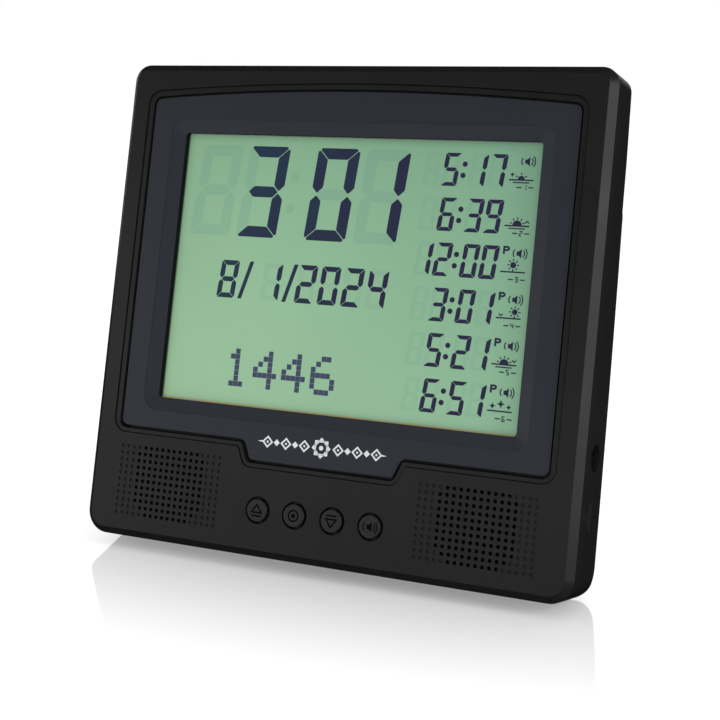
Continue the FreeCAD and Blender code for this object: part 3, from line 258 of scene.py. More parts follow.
def ribbon(path, width, closed=False):
    """Outline of an open stroke with mitred joints, or its two rims where it is closed."""
    points = [Vector(point) for point in path]
    count = len(points)
    sides = ([], [])
    for index, point in enumerate(points):
        arrive = point - points[index - 1] if index or closed else None
        leave = points[(index + 1) % count] - point if index < count - 1 or closed else None
        normals = [Vector((-step.y, step.x)).normalized() for step in (arrive, leave) if step]
        mitre = sum(normals, Vector((0.0, 0.0)))
        reach = width / 2 * len(normals) / mitre.length_squared
        for side, sign in zip(sides, (1, -1)):
            side.append(tuple(point + mitre * reach * sign))
    return sides if closed else sides[0] + sides[1][::-1]


def arc(x, z, radius, start, stop, width):
    """Stroke along an arc between two angles in degrees."""
    return ribbon(disc(x, z, radius, start, stop, steps=14), width)


def frame_strips(path, width):
    """Closed stroke as one quadrilateral for each side, mitred at the corners."""
    outer, inner = ribbon(path, width, closed=True)
    count = len(path)
    return [[outer[index], outer[(index + 1) % count], inner[(index + 1) % count], inner[index]]
            for index in range(count)]


def rounded(path, radii):
    """Closed path with each corner rounded by its own radius."""
    made = []
    steps = 6
    for index, corner in enumerate(path):
        here, radius = Vector(corner), radii[index]
        if not radius:
            made.append(corner)
            continue
        arrive = (Vector(path[index - 1]) - here).normalized()
        leave = (Vector(path[(index + 1) % len(path)]) - here).normalized()
        half = arrive.angle(leave) / 2
        centre = here + (arrive + leave).normalized() * radius / math.sin(half)
        start, stop = (here + way * radius / math.tan(half) - centre for way in (arrive, leave))
        for step in range(steps + 1):
            spoke = start.lerp(stop, step / steps).normalized() * radius
            made.append(tuple(centre + spoke))
    return made


# ---- display glyphs ---------------------------------------------------------------------
# width, height, stroke of upright and level segments, gap between them, lean of the digit
DigitStyle = namedtuple("DigitStyle", "width height upright level gap slant")
TIME_STYLE = DigitStyle(20.4, 41.1, 5.2, 4.9, 0.5, 0.085)
DATE_STYLE = DigitStyle(9.1, 16.9, 2.35, 2.2, 0.3, 0.09)
ROW_STYLE = DigitStyle(7.2, 14.2, 1.95, 1.65, 0.22, 0.11)
INDEX_STYLE = DigitStyle(1.5, 2.3, 0.45, 0.42, 0.05, 0.0)

LIT_SEGMENTS = {
    " ": "", "0": "abcdef", "1": "bc", "2": "abged", "3": "abgcd", "4": "fgbc",
    "5": "afgcd", "6": "afgedc", "7": "abc", "8": "abcdefg", "9": "abcdfg",
}
# rows of a five by seven dot digit, from the top down, as five bits each
DOT_ROWS = {
    "0": (14, 17, 19, 21, 25, 17, 14), "1": (4, 12, 4, 4, 4, 4, 14),
    "2": (14, 17, 1, 2, 4, 8, 31), "3": (31, 2, 4, 2, 1, 17, 14),
    "4": (2, 6, 10, 18, 31, 2, 2), "5": (31, 16, 30, 1, 1, 17, 14),
    "6": (6, 8, 16, 30, 17, 17, 14), "7": (31, 1, 2, 4, 8, 8, 8),
    "8": (14, 17, 17, 14, 17, 17, 14), "9": (14, 17, 17, 15, 1, 2, 12),
}


def segment_outlines(style):
    """The seven segments of an upright digit, by letter."""
    w, h, t, u, gap, _ = style
    middle = h / 2
    cut = w * 0.08
    top = [(cut, h), (w - cut, h), (w - cut / 2 - gap / 2, h - cut / 2),
           (w - t - gap / 2, h - u), (t + gap / 2, h - u), (cut / 2 + gap / 2, h - cut / 2)]
    upper_left = [(0, h - cut), (cut / 2, h - cut / 2 - gap / 2), (t, h - u - gap / 2),
                  (t, middle + gap + t / 2), (t / 2, middle + gap), (0, middle + gap + t / 2)]
    tip = t / 2 + gap / 2
    bar = [(tip, middle), (tip + u / 2, middle + u / 2), (w - tip - u / 2, middle + u / 2),
           (w - tip, middle), (w - tip - u / 2, middle - u / 2), (tip + u / 2, middle - u / 2)]

    def across(outline):
        return [(w - x, z) for x, z in outline]

    def upside_down(outline):
        return [(x, h - z) for x, z in outline]

    return {"a": top, "b": across(upper_left), "c": across(upside_down(upper_left)),
            "d": upside_down(top), "e": upside_down(upper_left), "f": upper_left, "g": bar}


def slanted(outline, x, z, slant):
    """Outline leaned to the right and placed with its lower left corner at x and z."""
    return [(x + px + pz * slant, z + pz) for px, pz in outline]


def digit(character, x, z, style):
    """Lit and unlit segments of one digit."""
    lit, unlit = [], []
    for letter, outline in segment_outlines(style).items():
        soft = softened(outline, style.upright * 0.1)
        chosen = lit if letter in LIT_SEGMENTS[character] else unlit
        chosen.append(slanted(soft, x, z, style.slant))
    return lit, unlit


def colon(x, z, style, radius):
    """Two round dots that follow the digits' lean."""
    return [disc(x + style.slant * rise, z + rise, radius)
            for rise in (style.height * 0.33, style.height * 0.67)]


# ---- display layout -------------------------------------------------------------------------
# Each x is the left edge of a mark's foot and each z its height, on the case's face, in mm.
TIME_Z = 139.8
TIME_X = (-80.0, -55.9, -21.5, 2.6)
TIME_COLON_X = -30.9
DATE_Z = 111.8
DATE_X = {0: -62.6, 1: -53.6, 3: -40.4, 4: -31.2, 5: -23.1, 6: -11.8, 7: -0.4, 8: 11.1}
SLASH_INSET = 2.0
SLASH_WIDTH = 1.9
SLASH_SLANT = 0.29
MATRIX_X = -54.0
MATRIX_Z = 72.6
DOT_PITCH = (2.38, 2.42)
DOT_SIZE = (2.27, 2.3)
ROW_TOP_Z = 166.3  # foot of the first row of times
ROW_STEP = 19.2
ROW_X = (32.4, 41.1, 53.3, 61.9)
ROW_COLON_X = 50.5
# Marks at the right of a time: their x, and their rise over the row's foot.
SKY_PLACE = (77.0, 3.6)
INDEX_PLACE = (78.1, -0.6)
DASHES_X = (75.2, 80.4)
DASH_LENGTH = 2.2
LETTER_PLACE = (72.0, 10.9)
HORN_PLACE = (78.9, 11.4)
THIN = 0.5  # stroke of the finest lines
AFTERNOON_ROWS = (2, 3, 4, 5)
CALL_ROWS = (0, 2, 3, 4, 5)


def big_time(text):
    """Lit and unlit shapes of the large time."""
    lit, unlit = [], []
    digits = text[:2] + text[3:]
    for character, x in zip(digits, TIME_X):
        on, off = digit(character, x, TIME_Z, TIME_STYLE)
        lit += on
        unlit += off
    dots = colon(TIME_COLON_X, TIME_Z, TIME_STYLE, 2.0)
    (lit if text[2] == ":" else unlit).extend(dots)
    return lit, unlit


def date_line(text):
    """Lit and unlit shapes of the date, with thin slanted strokes between its numbers."""
    lit, unlit = [], []
    for index, x in DATE_X.items():
        if text[index] == "/":
            height = DATE_STYLE.height
            bar = [(0, 0), (SLASH_WIDTH, 0), (SLASH_WIDTH, height), (0, height)]
            slash = slanted(bar, x + SLASH_INSET, DATE_Z, SLASH_SLANT)
            lit.append(softened(slash, 0.3))
            continue
        on, off = digit(text[index], x, DATE_Z, DATE_STYLE)
        lit += on
        unlit += off
    return lit, unlit


def matrix_line(text):
    """Lit dots of the dot matrix, with one empty column between its digits."""
    lit = []
    width, height = DOT_SIZE
    dot = softened([(0, 0), (width, 0), (width, height), (0, height)], 0.12)
    for place, character in enumerate(text):
        for row, bits in enumerate(DOT_ROWS[character]):
            for column in range(5):
                if bits >> (4 - column) & 1:
                    x = MATRIX_X + (place * 6 + column) * DOT_PITCH[0]
                    z = MATRIX_Z + (6 - row) * DOT_PITCH[1]
                    lit.append(moved(dot, x, z))
    return lit


def row_times(texts):
    """Lit and unlit shapes of the six times at the right."""
    lit, unlit = [], []
    for row, text in enumerate(texts):
        z = ROW_TOP_Z - row * ROW_STEP
        for character, x in zip(text.replace(":", "").rjust(4), ROW_X):
            on, off = digit(character, x, z, ROW_STYLE)
            lit += on
            unlit += off
        lit += colon(ROW_COLON_X, z, ROW_STYLE, 1.15)
    return lit, unlit


def letter_p(x, z):
    """Afternoon mark: a stem with a bow."""
    bow = [(0.85, 3.0), (1.9, 3.0), (2.5, 2.6), (2.5, 2.1), (1.9, 1.65), (0.85, 1.65)]
    stem = [(0.0, 0.0), (0.85, 0.0), (0.85, 3.42), (0.0, 3.42)]
    return [moved(stem, x, z), moved(ribbon(bow, 0.84), x, z)]


def horn(x, z, scale=1.0):
    """Loudspeaker with sound waves on both sides, for a row that sounds."""
    cone = [(-0.9, -0.9), (0.0, -0.9), (1.3, -2.0), (1.3, 2.0), (0.0, 0.9), (-0.9, 0.9)]
    made = [moved(cone, x, z, scale)]
    for radius in (2.2, 3.3):
        made.append(arc(x + 0.4 * scale, z, radius * scale, -42, 42, THIN * scale))
    made.append(arc(x - 0.2 * scale, z, 2.2 * scale, 138, 222, THIN * scale))
    return made


def sun(x, z, radius, rays, start=0.0, stop=360.0):
    """Disc or half disc of the sun with short rays."""
    made = [disc(x, z, radius, start, stop)]
    for index in range(rays):
        share = (index + 0.5) / rays if stop - start < 360 else index / rays
        angle = math.radians(start + (stop - start) * share)
        outward = Vector((math.cos(angle), math.sin(angle)))
        centre = Vector((x, z))
        made.append(ribbon([centre + outward * (radius + 0.4), centre + outward * (radius + 1.3)],
                           THIN))
    return made


def star(x, z, radius):
    """Small star of the night row, with four points."""
    tips = disc(x, z, radius, steps=4)
    notches = disc(x, z, radius * 0.42, 45, 405, steps=4)
    return [corner for pair in zip(tips, notches) for corner in pair]


def chevron(x, z, up):
    """Small arrow head that says whether the sun climbs or sinks."""
    return ribbon([(x - 0.9, z), (x, z + 0.8 * up), (x + 0.9, z)], THIN)


def sky_marks(row, x, z):
    """Pictogram of a row's part of the day on a base line: dawn, rise, noon, later, dusk, night."""
    base = ribbon([(x - 5.4, z), (x + 5.4, z)], 0.6)
    low = [base, ribbon([(x - 3.6, z - 1.1), (x + 3.6, z - 1.1)], THIN)]
    if row == 0:
        return low + sun(x, z + 0.3, 1.5, 3, 0, 180) + [star(x - 4.0, z + 2.2, 1.1)]
    if row == 1:
        return low + sun(x, z + 0.3, 2.0, 5, 0, 180) + [chevron(x + 4.3, z + 1.3, 1)]
    if row == 2:
        return [base] + sun(x, z + 2.9, 1.3, 8)
    if row == 3:
        return [base] + sun(x + 2.6, z + 2.7, 1.2, 8) + [chevron(x - 3.4, z + 1.7, -1)]
    if row == 4:
        return low + sun(x, z + 0.3, 2.0, 5, 0, 180) + [chevron(x + 4.3, z + 2.1, -1)]
    return [base, star(x - 3.3, z + 2.0, 1.4), star(x + 0.3, z + 3.0, 1.7),
            star(x + 3.8, z + 1.9, 1.2)]


def row_marks():
    """Pictogram, row number, afternoon mark and horn at the right of each time."""
    lit = []
    for row in range(6):
        z = ROW_TOP_Z - row * ROW_STEP
        sky, index, letter, call = ((x, z + rise) for x, rise in (
            SKY_PLACE, INDEX_PLACE, LETTER_PLACE, HORN_PLACE))
        lit += sky_marks(row, *sky)
        lit += digit(str(row + 1), *index, INDEX_STYLE)[0]
        for x in DASHES_X:
            lit.append(ribbon([(x, z + 0.5), (x + DASH_LENGTH, z + 0.5)], THIN))
        if row in AFTERNOON_ROWS:
            lit += letter_p(*letter)
        if row in CALL_ROWS:
            lit += horn(*call, 0.98)
    return lit


# ---- finishes ----------------------------------------------------------------------------------
GRAIN_TONE = 0.12  # how much lighter and darker than its colour a grained surface gets
GLOSS_DRIFT = 0.04


def moulded(name, colour, roughness, grain, relief, specular=0.5, ior=1.53):
    """Surface with a grain and a relief in mm that break its shine, which drifts a little."""
    material, tree, where = new_material(name)
    fine = add(tree, "TexNoise",
               {"Vector": where, "Scale": 1 / (grain * MM), "Detail": 3.0, "Roughness": 0.6})
    broad = add(tree, "TexNoise", {"Vector": where, "Scale": 28.0, "Detail": 2.0})
    light = add(tree, "Mix", {
        "Factor": fine.outputs["Fac"], "A": rgba(colour, 1 - GRAIN_TONE),
        "B": rgba(colour, 1 + GRAIN_TONE)}, data_type="RGBA")
    gloss = add(tree, "MapRange", {
        "Value": broad.outputs["Fac"], "From Min": 0.3, "From Max": 0.7,
        "To Min": roughness - GLOSS_DRIFT, "To Max": roughness + GLOSS_DRIFT})
    bump = add(tree, "Bump",
               {"Height": fine.outputs["Fac"], "Strength": 0.6, "Distance": relief * MM})
    shader = add(tree, "BsdfPrincipled", {
        "Base Color": light.outputs["Result"], "Roughness": gloss.outputs["Result"],
        "Normal": bump.outputs["Normal"], "IOR": ior, "Specular IOR Level": specular})
    finish_surface(tree, shader)
    return material


def metal(name, colour, roughness, brush, worn):
    """Plated or foiled metal, its shine broken by fine lines, so many per mm along x, y and z."""
    material, tree, where = new_material(name)
    turned = add(tree, "Mapping", {"Vector": where, "Scale": [count / MM for count in brush]})
    lines = add(tree, "TexNoise",
                {"Vector": turned.outputs["Vector"], "Scale": 1.0, "Detail": 4.0})
    tone = add(tree, "Mix", {
        "Factor": lines.outputs["Fac"], "A": rgba(colour, worn), "B": rgba(colour)},
        data_type="RGBA")
    gloss = add(tree, "MapRange", {
        "Value": lines.outputs["Fac"], "To Min": roughness - 0.08, "To Max": roughness + 0.08})
    shader = add(tree, "BsdfPrincipled", {
        "Base Color": tone.outputs["Result"], "Metallic": 1.0,
        "Roughness": gloss.outputs["Result"]})
    finish_surface(tree, shader)
    return material


WINDOW_HALF = 86 * MM
WINDOW_FOOT = 67.5 * MM  # over the table
GREEN_FOOT, GREEN_TOP = 70 * MM, 180 * MM  # the green changes between these heights


def display_film(name, settings, shade=0.0):
    """Semi-matt polariser over a green backlight, bluer and darker where crystal lies unlit."""
    material, tree, where = new_material(name)
    axes = add(tree, "SeparateXYZ", {"Vector": where})
    # Painted light: the green is lighter towards the window's foot and towards its left.
    across = add(tree, "MapRange", {
        "Value": axes.outputs["X"], "From Min": -WINDOW_HALF, "From Max": WINDOW_HALF})
    down = add(tree, "MapRange", {
        "Value": axes.outputs["Z"], "From Min": GREEN_TOP, "From Max": GREEN_FOOT})
    high = add(tree, "Mix", {
        "Factor": across.outputs["Result"], "A": rgba("#85b08c"), "B": rgba("#74a185")},
        data_type="RGBA")
    low = add(tree, "Mix", {
        "Factor": across.outputs["Result"], "A": rgba("#9cc29a"), "B": rgba("#8ebb9a")},
        data_type="RGBA")
    ground = add(tree, "Mix", {
        "Factor": down.outputs["Result"], "A": high.outputs["Result"], "B": low.outputs["Result"]},
        data_type="RGBA")
    tinted = add(tree, "Mix", {
        "Factor": 0.25, "A": ground.outputs["Result"], "B": rgba(settings.film_colour)},
        data_type="RGBA")
    # Painted light: it is a little cloudy, and strongest left of the window's middle.
    cloud = add(tree, "TexNoise", {"Vector": where, "Scale": 14.0, "Detail": 2.0})
    glow = pool(tree, where, (-0.025, 0.0, 0.11364), (0.08333, 0.0, 0.09091))
    level = add(tree, "Math", {
        0: add(tree, "MapRange", {
            "Value": cloud.outputs["Fac"], "To Min": 0.95, "To Max": 1.05}).outputs["Result"],
        1: add(tree, "MapRange", {
            "Value": glow, "To Min": 1.0, "To Max": 1.09}).outputs["Result"]},
        operation="MULTIPLY")
    drift = add(tree, "HueSaturation", {
        "Color": tinted.outputs["Result"], "Hue": 0.5, "Saturation": 0.97,
        "Value": level.outputs[0]})
    shaded = add(tree, "Mix", {
        "Factor": shade, "A": drift.outputs["Color"], "B": rgba(settings.ghost_colour)},
        data_type="RGBA")
    # Painted shadow: the window's left wall keeps the light off the strip of film beside it.
    edge = add(tree, "MapRange", {
        "Value": axes.outputs["X"], "From Min": 0.5 * MM - WINDOW_HALF,
        "From Max": 1.7 * MM - WINDOW_HALF, "To Min": 0.97, "To Max": 0.0},
        interpolation_type="SMOOTHSTEP")
    wall_shaded = add(tree, "Mix", {
        "Factor": edge.outputs["Result"], "A": shaded.outputs["Result"], "B": rgba("#070906")},
        data_type="RGBA")
    # Painted light: the lamps of the backlight show as a thin warm line at the window's foot.
    painted_leak = add(tree, "MapRange", {
        "Value": axes.outputs["Z"], "From Min": WINDOW_FOOT, "From Max": WINDOW_FOOT + 1.1 * MM,
        "To Min": 0.85, "To Max": 0.0}, interpolation_type="SMOOTHSTEP")
    warmed = add(tree, "Mix", {
        "Factor": painted_leak.outputs["Result"], "A": wall_shaded.outputs["Result"], "B": rgba("#b09a66")},
        data_type="RGBA")
    tooth = add(tree, "TexNoise",
                {"Vector": where, "Scale": 1 / (0.4 * MM), "Detail": 2.0})
    bump = add(tree, "Bump",
               {"Height": tooth.outputs["Fac"], "Strength": 0.15, "Distance": 0.05 * MM})
    shader = add(tree, "BsdfPrincipled", {
        "Base Color": warmed.outputs["Result"], "Roughness": 0.42, "IOR": 1.49,
        "Specular IOR Level": 0.08, "Normal": bump.outputs["Normal"]})
    finish_surface(tree, shader)
    return material


def segment_ink(name, colour, far_colour):
    """Twisted liquid crystal: dark slate at the left, going to violet at the right in patches."""
    material, tree, where = new_material(name)
    axes = add(tree, "SeparateXYZ", {"Vector": where})
    across = add(tree, "MapRange", {
        "Value": axes.outputs["X"], "From Min": -60 * MM, "From Max": 50 * MM})
    patches = add(tree, "TexNoise", {"Vector": where, "Scale": 45.0, "Detail": 1.0})
    share = add(tree, "Math", {
        0: across.outputs["Result"],
        1: add(tree, "MapRange", {
            "Value": patches.outputs["Fac"], "From Min": 0.35, "From Max": 0.65, "To Min": -0.4,
            "To Max": 0.4}).outputs["Result"]},
        operation="ADD", use_clamp=True)
    tone = add(tree, "Mix", {
        "Factor": share.outputs[0], "A": rgba(colour), "B": rgba(far_colour)}, data_type="RGBA")
    shader = add(tree, "BsdfPrincipled", {
        "Base Color": tone.outputs["Result"], "Roughness": 0.42, "IOR": 1.49,
        "Specular IOR Level": 0.08})
    finish_surface(tree, shader)
    return material


def laminate(name, colour):
    """Glass-fibre board under green solder mask: copper tracks show as slightly lighter lines."""
    material, tree, where = new_material(name)
    # A brick texture's rows are a quarter of its unit: tracks 2.8 mm apart.
    tracks = add(tree, "TexBrick", {
        "Vector": where, "Scale": 90.0, "Mortar Size": 0.04, "Mortar Smooth": 0.3,
        "Color1": (0.0, 0.0, 0.0, 1.0), "Color2": (0.1, 0.1, 0.1, 1.0),
        "Mortar": (1.0, 1.0, 1.0, 1.0)})
    tone = add(tree, "Mix", {
        "Factor": tracks.outputs["Color"], "A": rgba(colour), "B": rgba(colour, 2.2)},
        data_type="RGBA")
    bump = add(tree, "Bump", {
        "Height": tracks.outputs["Fac"], "Strength": 0.3, "Distance": 0.05 * MM})
    shader = add(tree, "BsdfPrincipled", {
        "Base Color": tone.outputs["Result"], "Roughness": 0.35, "Normal": bump.outputs["Normal"]})
    finish_surface(tree, shader)
    return material


def layered(name, colour, other, pitch):
    """Rubber in dark and pale layers that follow each other along x, at a pitch in mm."""
    material, tree, where = new_material(name)
    bands = add(tree, "TexWave", {
        "Vector": where, "Scale": wave_scale(pitch * MM), "Distortion": 0.0},
        bands_direction="X")
    tone = add(tree, "Mix", {
        "Factor": bands.outputs["Fac"], "A": rgba(colour), "B": rgba(other)}, data_type="RGBA")
    shader = add(tree, "BsdfPrincipled", {
        "Base Color": tone.outputs["Result"], "Roughness": 0.7})
    finish_surface(tree, shader)
    return material


CELL_MIDDLE_X = -65.8 * MM
CELL_LENGTH = 50 * MM


def sleeve(name, colour, end_colour):
    """Printed shrink sleeve of a cell that lies along x: one colour, with a band at each end."""
    material, tree, where = new_material(name)
    # One wave over the cell's length, with its crests at the two ends.
    wave = add(tree, "TexWave", {
        "Vector": where, "Scale": wave_scale(CELL_LENGTH), "Distortion": 0.0,
        "Phase Offset": -math.tau * CELL_MIDDLE_X / CELL_LENGTH}, bands_direction="X")
    band = add(tree, "MapRange", {
        "Value": wave.outputs["Fac"], "From Min": 0.76, "From Max": 0.79})
    tone = add(tree, "Mix", {
        "Factor": band.outputs["Result"], "A": rgba(colour), "B": rgba(end_colour)},
        data_type="RGBA")
    shader = add(tree, "BsdfPrincipled", {
        "Base Color": tone.outputs["Result"], "Roughness": 0.3})
    finish_surface(tree, shader)
    return material


def clear_sheet(name, colour, roughness):
    """Clear glass or acrylic with a faint tint and a little haze."""
    material, tree, where = new_material(name)
    haze = add(tree, "TexNoise", {"Vector": where, "Scale": 60.0, "Detail": 2.0})
    tone = add(tree, "Mix", {
        "Factor": haze.outputs["Fac"], "A": rgba(colour), "B": rgba(colour, 0.94)},
        data_type="RGBA")
    gloss = add(tree, "MapRange", {
        "Value": haze.outputs["Fac"], "To Min": roughness, "To Max": roughness + 0.05})
    shader = add(tree, "BsdfPrincipled", {
        "Base Color": tone.outputs["Result"], "Roughness": gloss.outputs["Result"],
        "IOR": 1.52, "Transmission Weight": 0.6})
    finish_surface(tree, shader)
    return material


# ---- operators ---------------------------------------------------------------------------------
class CLOCK_OT_dress_case(bpy.types.Operator):
    """Give the two case halves, the battery door, the leg and the rubber feet their finishes"""

    bl_idname = "clock.dress_case"
    bl_label = "Case, leg and feet"

    def execute(self, context):
        settings = context.scene.clock_case
        # Black ABS moulded in a spark-eroded tool: satin, with a soft even sheen. The real
        # grain of about 0.3 mm is too fine to show, so it is drawn as coarse as the setting.
        case = moulded("abs_spark_grain_black", settings.case_colour, roughness=0.36,
                       grain=settings.grain / MM, relief=0.02, specular=0.1)
        dress(case, "front_case", "rear_cover", "battery_door", "stand_leg")
        # Natural rubber, moulded matt: darker than the case and without shine.
        rubber = moulded("rubber_moulded_matt", "#141415", roughness=0.85, grain=1.2,
                         relief=0.08, specular=0.2, ior=1.52)
        dress(rubber, "foot_left", "foot_right", "stand_foot_pad")
        return {"FINISHED"}


class CLOCK_OT_dress_panel(bpy.types.Operator):
    """Finish the sunk panel round the display, lay its foil ornament on the name tab and paint
    shadow lines round the panel
    """

    bl_idname = "clock.dress_panel"
    bl_label = "Panel and ornament"

    def execute(self, context):
        settings = context.scene.clock_case
        # Blue-grey ABS with a finer spark grain than the case: smooth satin that looks bluish
        # beside the black.
        panel = moulded("abs_fine_grain_blue_grey", settings.panel_colour, roughness=0.4,
                        grain=0.6, relief=0.02, specular=0.1)
        dress(panel, "display_bezel")
        # Cross-linked foam: dull black and full of small cells.
        foam = moulded("foam_closed_cell_black", "#0f0f10", roughness=0.95, grain=0.7,
                       relief=0.2, specular=0.1)
        dress(foam, "window_gasket")
        # Hot-stamped silver foil: bright, a little broken by the panel's grain under it.
        foil = metal("foil_hot_stamped_silver", settings.foil_colour, roughness=0.34,
                     brush=(0.9, 0.9, 0.9), worn=0.86)
        ornament = prisms("tab_ornament", tab_ornament(), PANEL_FRONT - INK, PANEL_FRONT + INK,
                          "case", foil)
        # Painted shadow on the same ABS: no light gets into the sharp inner corner, so it reads as
        # a line.
        shadow = moulded("painted_shadow_inner_corner", "#060606", roughness=0.8, grain=0.8, relief=0.02,
                         specular=0.05)
        line = prisms("reveal_shadow_line", band_shadows(), STEP_FRONT - INK, STEP_FRONT + INK / 2,
                      "case", shadow)
        return {"FINISHED"}


PANEL_RIGHT = [(102.0, 200.7), (102.0, 50.2), (37.8, 50.2), (34.2, 41.6)]
PANEL_FOOT_TOP = 52.0  # the panel's foot and tab lie below this
PANEL_ARCH = 4.4
PANEL_CORNER = 3.0
TAB_CORNER = 1.6
PANEL_GAP = 0.9
BAND_WIDTH = 2.6
BAND_LINE = 0.4
FOOT_LINE = 0.6


def panel_path(grow):
    """Outline of the panel with its tab and arched top, grown on every side."""
    left = [(-x, z) for x, z in reversed(PANEL_RIGHT)]
    path = ribbon(PANEL_RIGHT + left, 2 * grow, closed=True)[0]
    half, level = path[0]
    radius = (half ** 2 + PANEL_ARCH ** 2) / (2 * PANEL_ARCH)
    crown = []
    for step in range(-8, 9):
        x = half * step / 10
        crown.append((x, level + PANEL_ARCH - radius + math.sqrt(radius ** 2 - x ** 2)))
    corners = [PANEL_CORNER + grow, PANEL_CORNER + grow, TAB_CORNER, TAB_CORNER + grow]
    return rounded(path + crown, corners + corners[::-1] + [0.0] * len(crown))


def band_shadows():
    """Painted shadow: dark line in the outer corner of the band round the panel, and beside the
    panel's foot.
    """
    outer = frame_strips(panel_path(PANEL_GAP + BAND_WIDTH - BAND_LINE / 2), BAND_LINE)
    inner = frame_strips(panel_path(PANEL_GAP + FOOT_LINE / 2), FOOT_LINE)
    return outer + [strip for strip in inner if max(z for _, z in strip) < PANEL_FOOT_TOP]


ORNAMENT_Z = 50.2
STAR_REACH = 4.0
LOZENGES = (2.2, 1.5, 2.2, 1.5, 2.2)  # reach of each, from the star outward
LOZENGE_START = 8.1
LOZENGE_PITCH = 4.5
TAIL_START, TAIL_END = 28.6, 31.0


def tab_ornament():
    """Eight-pointed star between two chains of lozenges, each with a tail."""
    outlines = [disc(0, ORNAMENT_Z, 1.0)]
    for turn in (0, 45):
        square = disc(0, ORNAMENT_Z, STAR_REACH, turn, turn + 360, steps=4)
        outlines += frame_strips(square, 0.75)
    for side in (-1, 1):
        for step, reach in enumerate(LOZENGES):
            x = side * (LOZENGE_START + step * LOZENGE_PITCH)
            lozenge = disc(x, ORNAMENT_Z, reach, steps=4)
            if step % 2 == 0:
                outlines += frame_strips(lozenge, 0.7)
                outlines.append(disc(x, ORNAMENT_Z, 0.5, steps=12))
            else:
                outlines.append(lozenge)
        start, end = side * TAIL_START, side * TAIL_END
        outlines.append([(start, ORNAMENT_Z - 0.4), (start, ORNAMENT_Z + 0.4), (end, ORNAMENT_Z)])
    return outlines


class CLOCK_OT_dress_display(bpy.types.Operator):
    """Finish the film and write the time, date, dot matrix, six times and their marks on it"""

    bl_idname = "clock.dress_display"
    bl_label = "Display"

    def execute(self, context):
        settings = context.scene.clock_display
        # Semi-matt film over lit glass: an even green without shine.
        dress(display_film("polariser_film_green_lit", settings), "lcd_polariser")
        # Twisted crystal under it: switched on it is nearly black, and at rest just tints the film.
        ink = segment_ink("liquid_crystal_dark", settings.segment_colour, "#2a2843")
        faint = display_film("liquid_crystal_unlit", settings, 0.17)
        fainter = display_film("liquid_crystal_unlit_small", settings, 0.1)
        time_lit, time_unlit = big_time(settings.time_text)
        date_lit, date_unlit = date_line(settings.date_text)
        row_lit, row_unlit = row_times(settings.row_texts.split())
        # A multiplexed dot matrix gets less voltage for each dot, so it stays paler.
        pale = segment_ink("liquid_crystal_multiplexed", "#3f4a60", "#454a66")
        for name, outlines, thickness, material in (
                ("display_time", time_lit, INK, ink),
                ("display_date", date_lit, INK, ink),
                ("display_matrix", matrix_line(settings.matrix_text), INK, pale),
                ("display_row_times", row_lit, INK, ink),
                ("display_row_marks", row_marks(), INK, ink),
                ("display_unlit_time", time_unlit, INK / 2, faint),
                ("display_unlit_small", date_unlit + row_unlit, INK / 2, fainter)):
            prisms(name, outlines, FILM_FRONT - thickness, FILM_FRONT + INK / 2, "case", material)
        return {"FINISHED"}


class CLOCK_OT_dress_keys(bpy.types.Operator):
    """Finish the four round keys, cut their symbols and paint shade round their holes"""

    bl_idname = "clock.dress_keys"
    bl_label = "Keys"

    def execute(self, context):
        settings = context.scene.clock_case
        # Black ABS caps, moulded smoother than the case, so that they catch a little more light.
        cap = moulded("abs_smooth_black", settings.key_colour, roughness=0.36, grain=0.8,
                      relief=0.02, specular=0.12)
        # Painted shade filling the engraved lines and round the keys' holes: matt, darker than the
        # cap.
        mark = moulded("engraving_painted_shade", "#060607", roughness=0.8, grain=0.8, relief=0.03,
                       specular=0.05)
        for index, name in enumerate(KEYS):
            dress(cap, "button_" + name)
            x = (index - 1.5) * KEY_PITCH
            piece = prisms("key_symbol_" + name, key_symbol(name, x, KEY_Z), KEY_FRONT - INK,
                           KEY_FRONT + INK, "button_%s_key" % name, mark)
            # Painted shade: a near-black ring round each key's hole.
            rim = prisms("painted_rim_shade_" + name, painted_rim_shade(x, KEY_Z), -INK / 2, INK / 2, "case", mark)
        # White acetal plungers: waxy, with a soft shine.
        acetal = moulded("acetal_white", "#e4e2da", roughness=0.4, grain=1.0, relief=0.02)
        dress(acetal, *["plunger_" + name for name in KEYS])
        return {"FINISHED"}


SYMBOL_LINE = 0.7


def key_symbol(name, x, z):
    """Plain symbol of one key."""
    if name in ("up", "down"):
        sign = 1 if name == "up" else -1
        triangle = [(x - 2.4, z - 0.8 * sign), (x + 2.4, z - 0.8 * sign), (x, z + 2.6 * sign)]
        bar = ribbon([(x - 2.4, z - 2.3 * sign), (x + 2.4, z - 2.3 * sign)], SYMBOL_LINE)
        return frame_strips(triangle, SYMBOL_LINE) + [bar]
    if name == "set":
        return frame_strips(disc(x, z, 2.3, steps=24), SYMBOL_LINE) + [disc(x, z, 1.0)]
    return horn(x - 0.3, z, 1.05)


def painted_rim_shade(x, z):
    """Painted shade on the rim of a key's hole, which the gap shades, most at its upper right."""
    inner = disc(x, z, KEY_HOLE_RADIUS)
    outer = disc(x + 0.1, z + 0.05, KEY_HOLE_RADIUS + 0.28)
    return [[outer[i - 1], outer[i], inner[i], inner[i - 1]] for i in range(len(outer))]


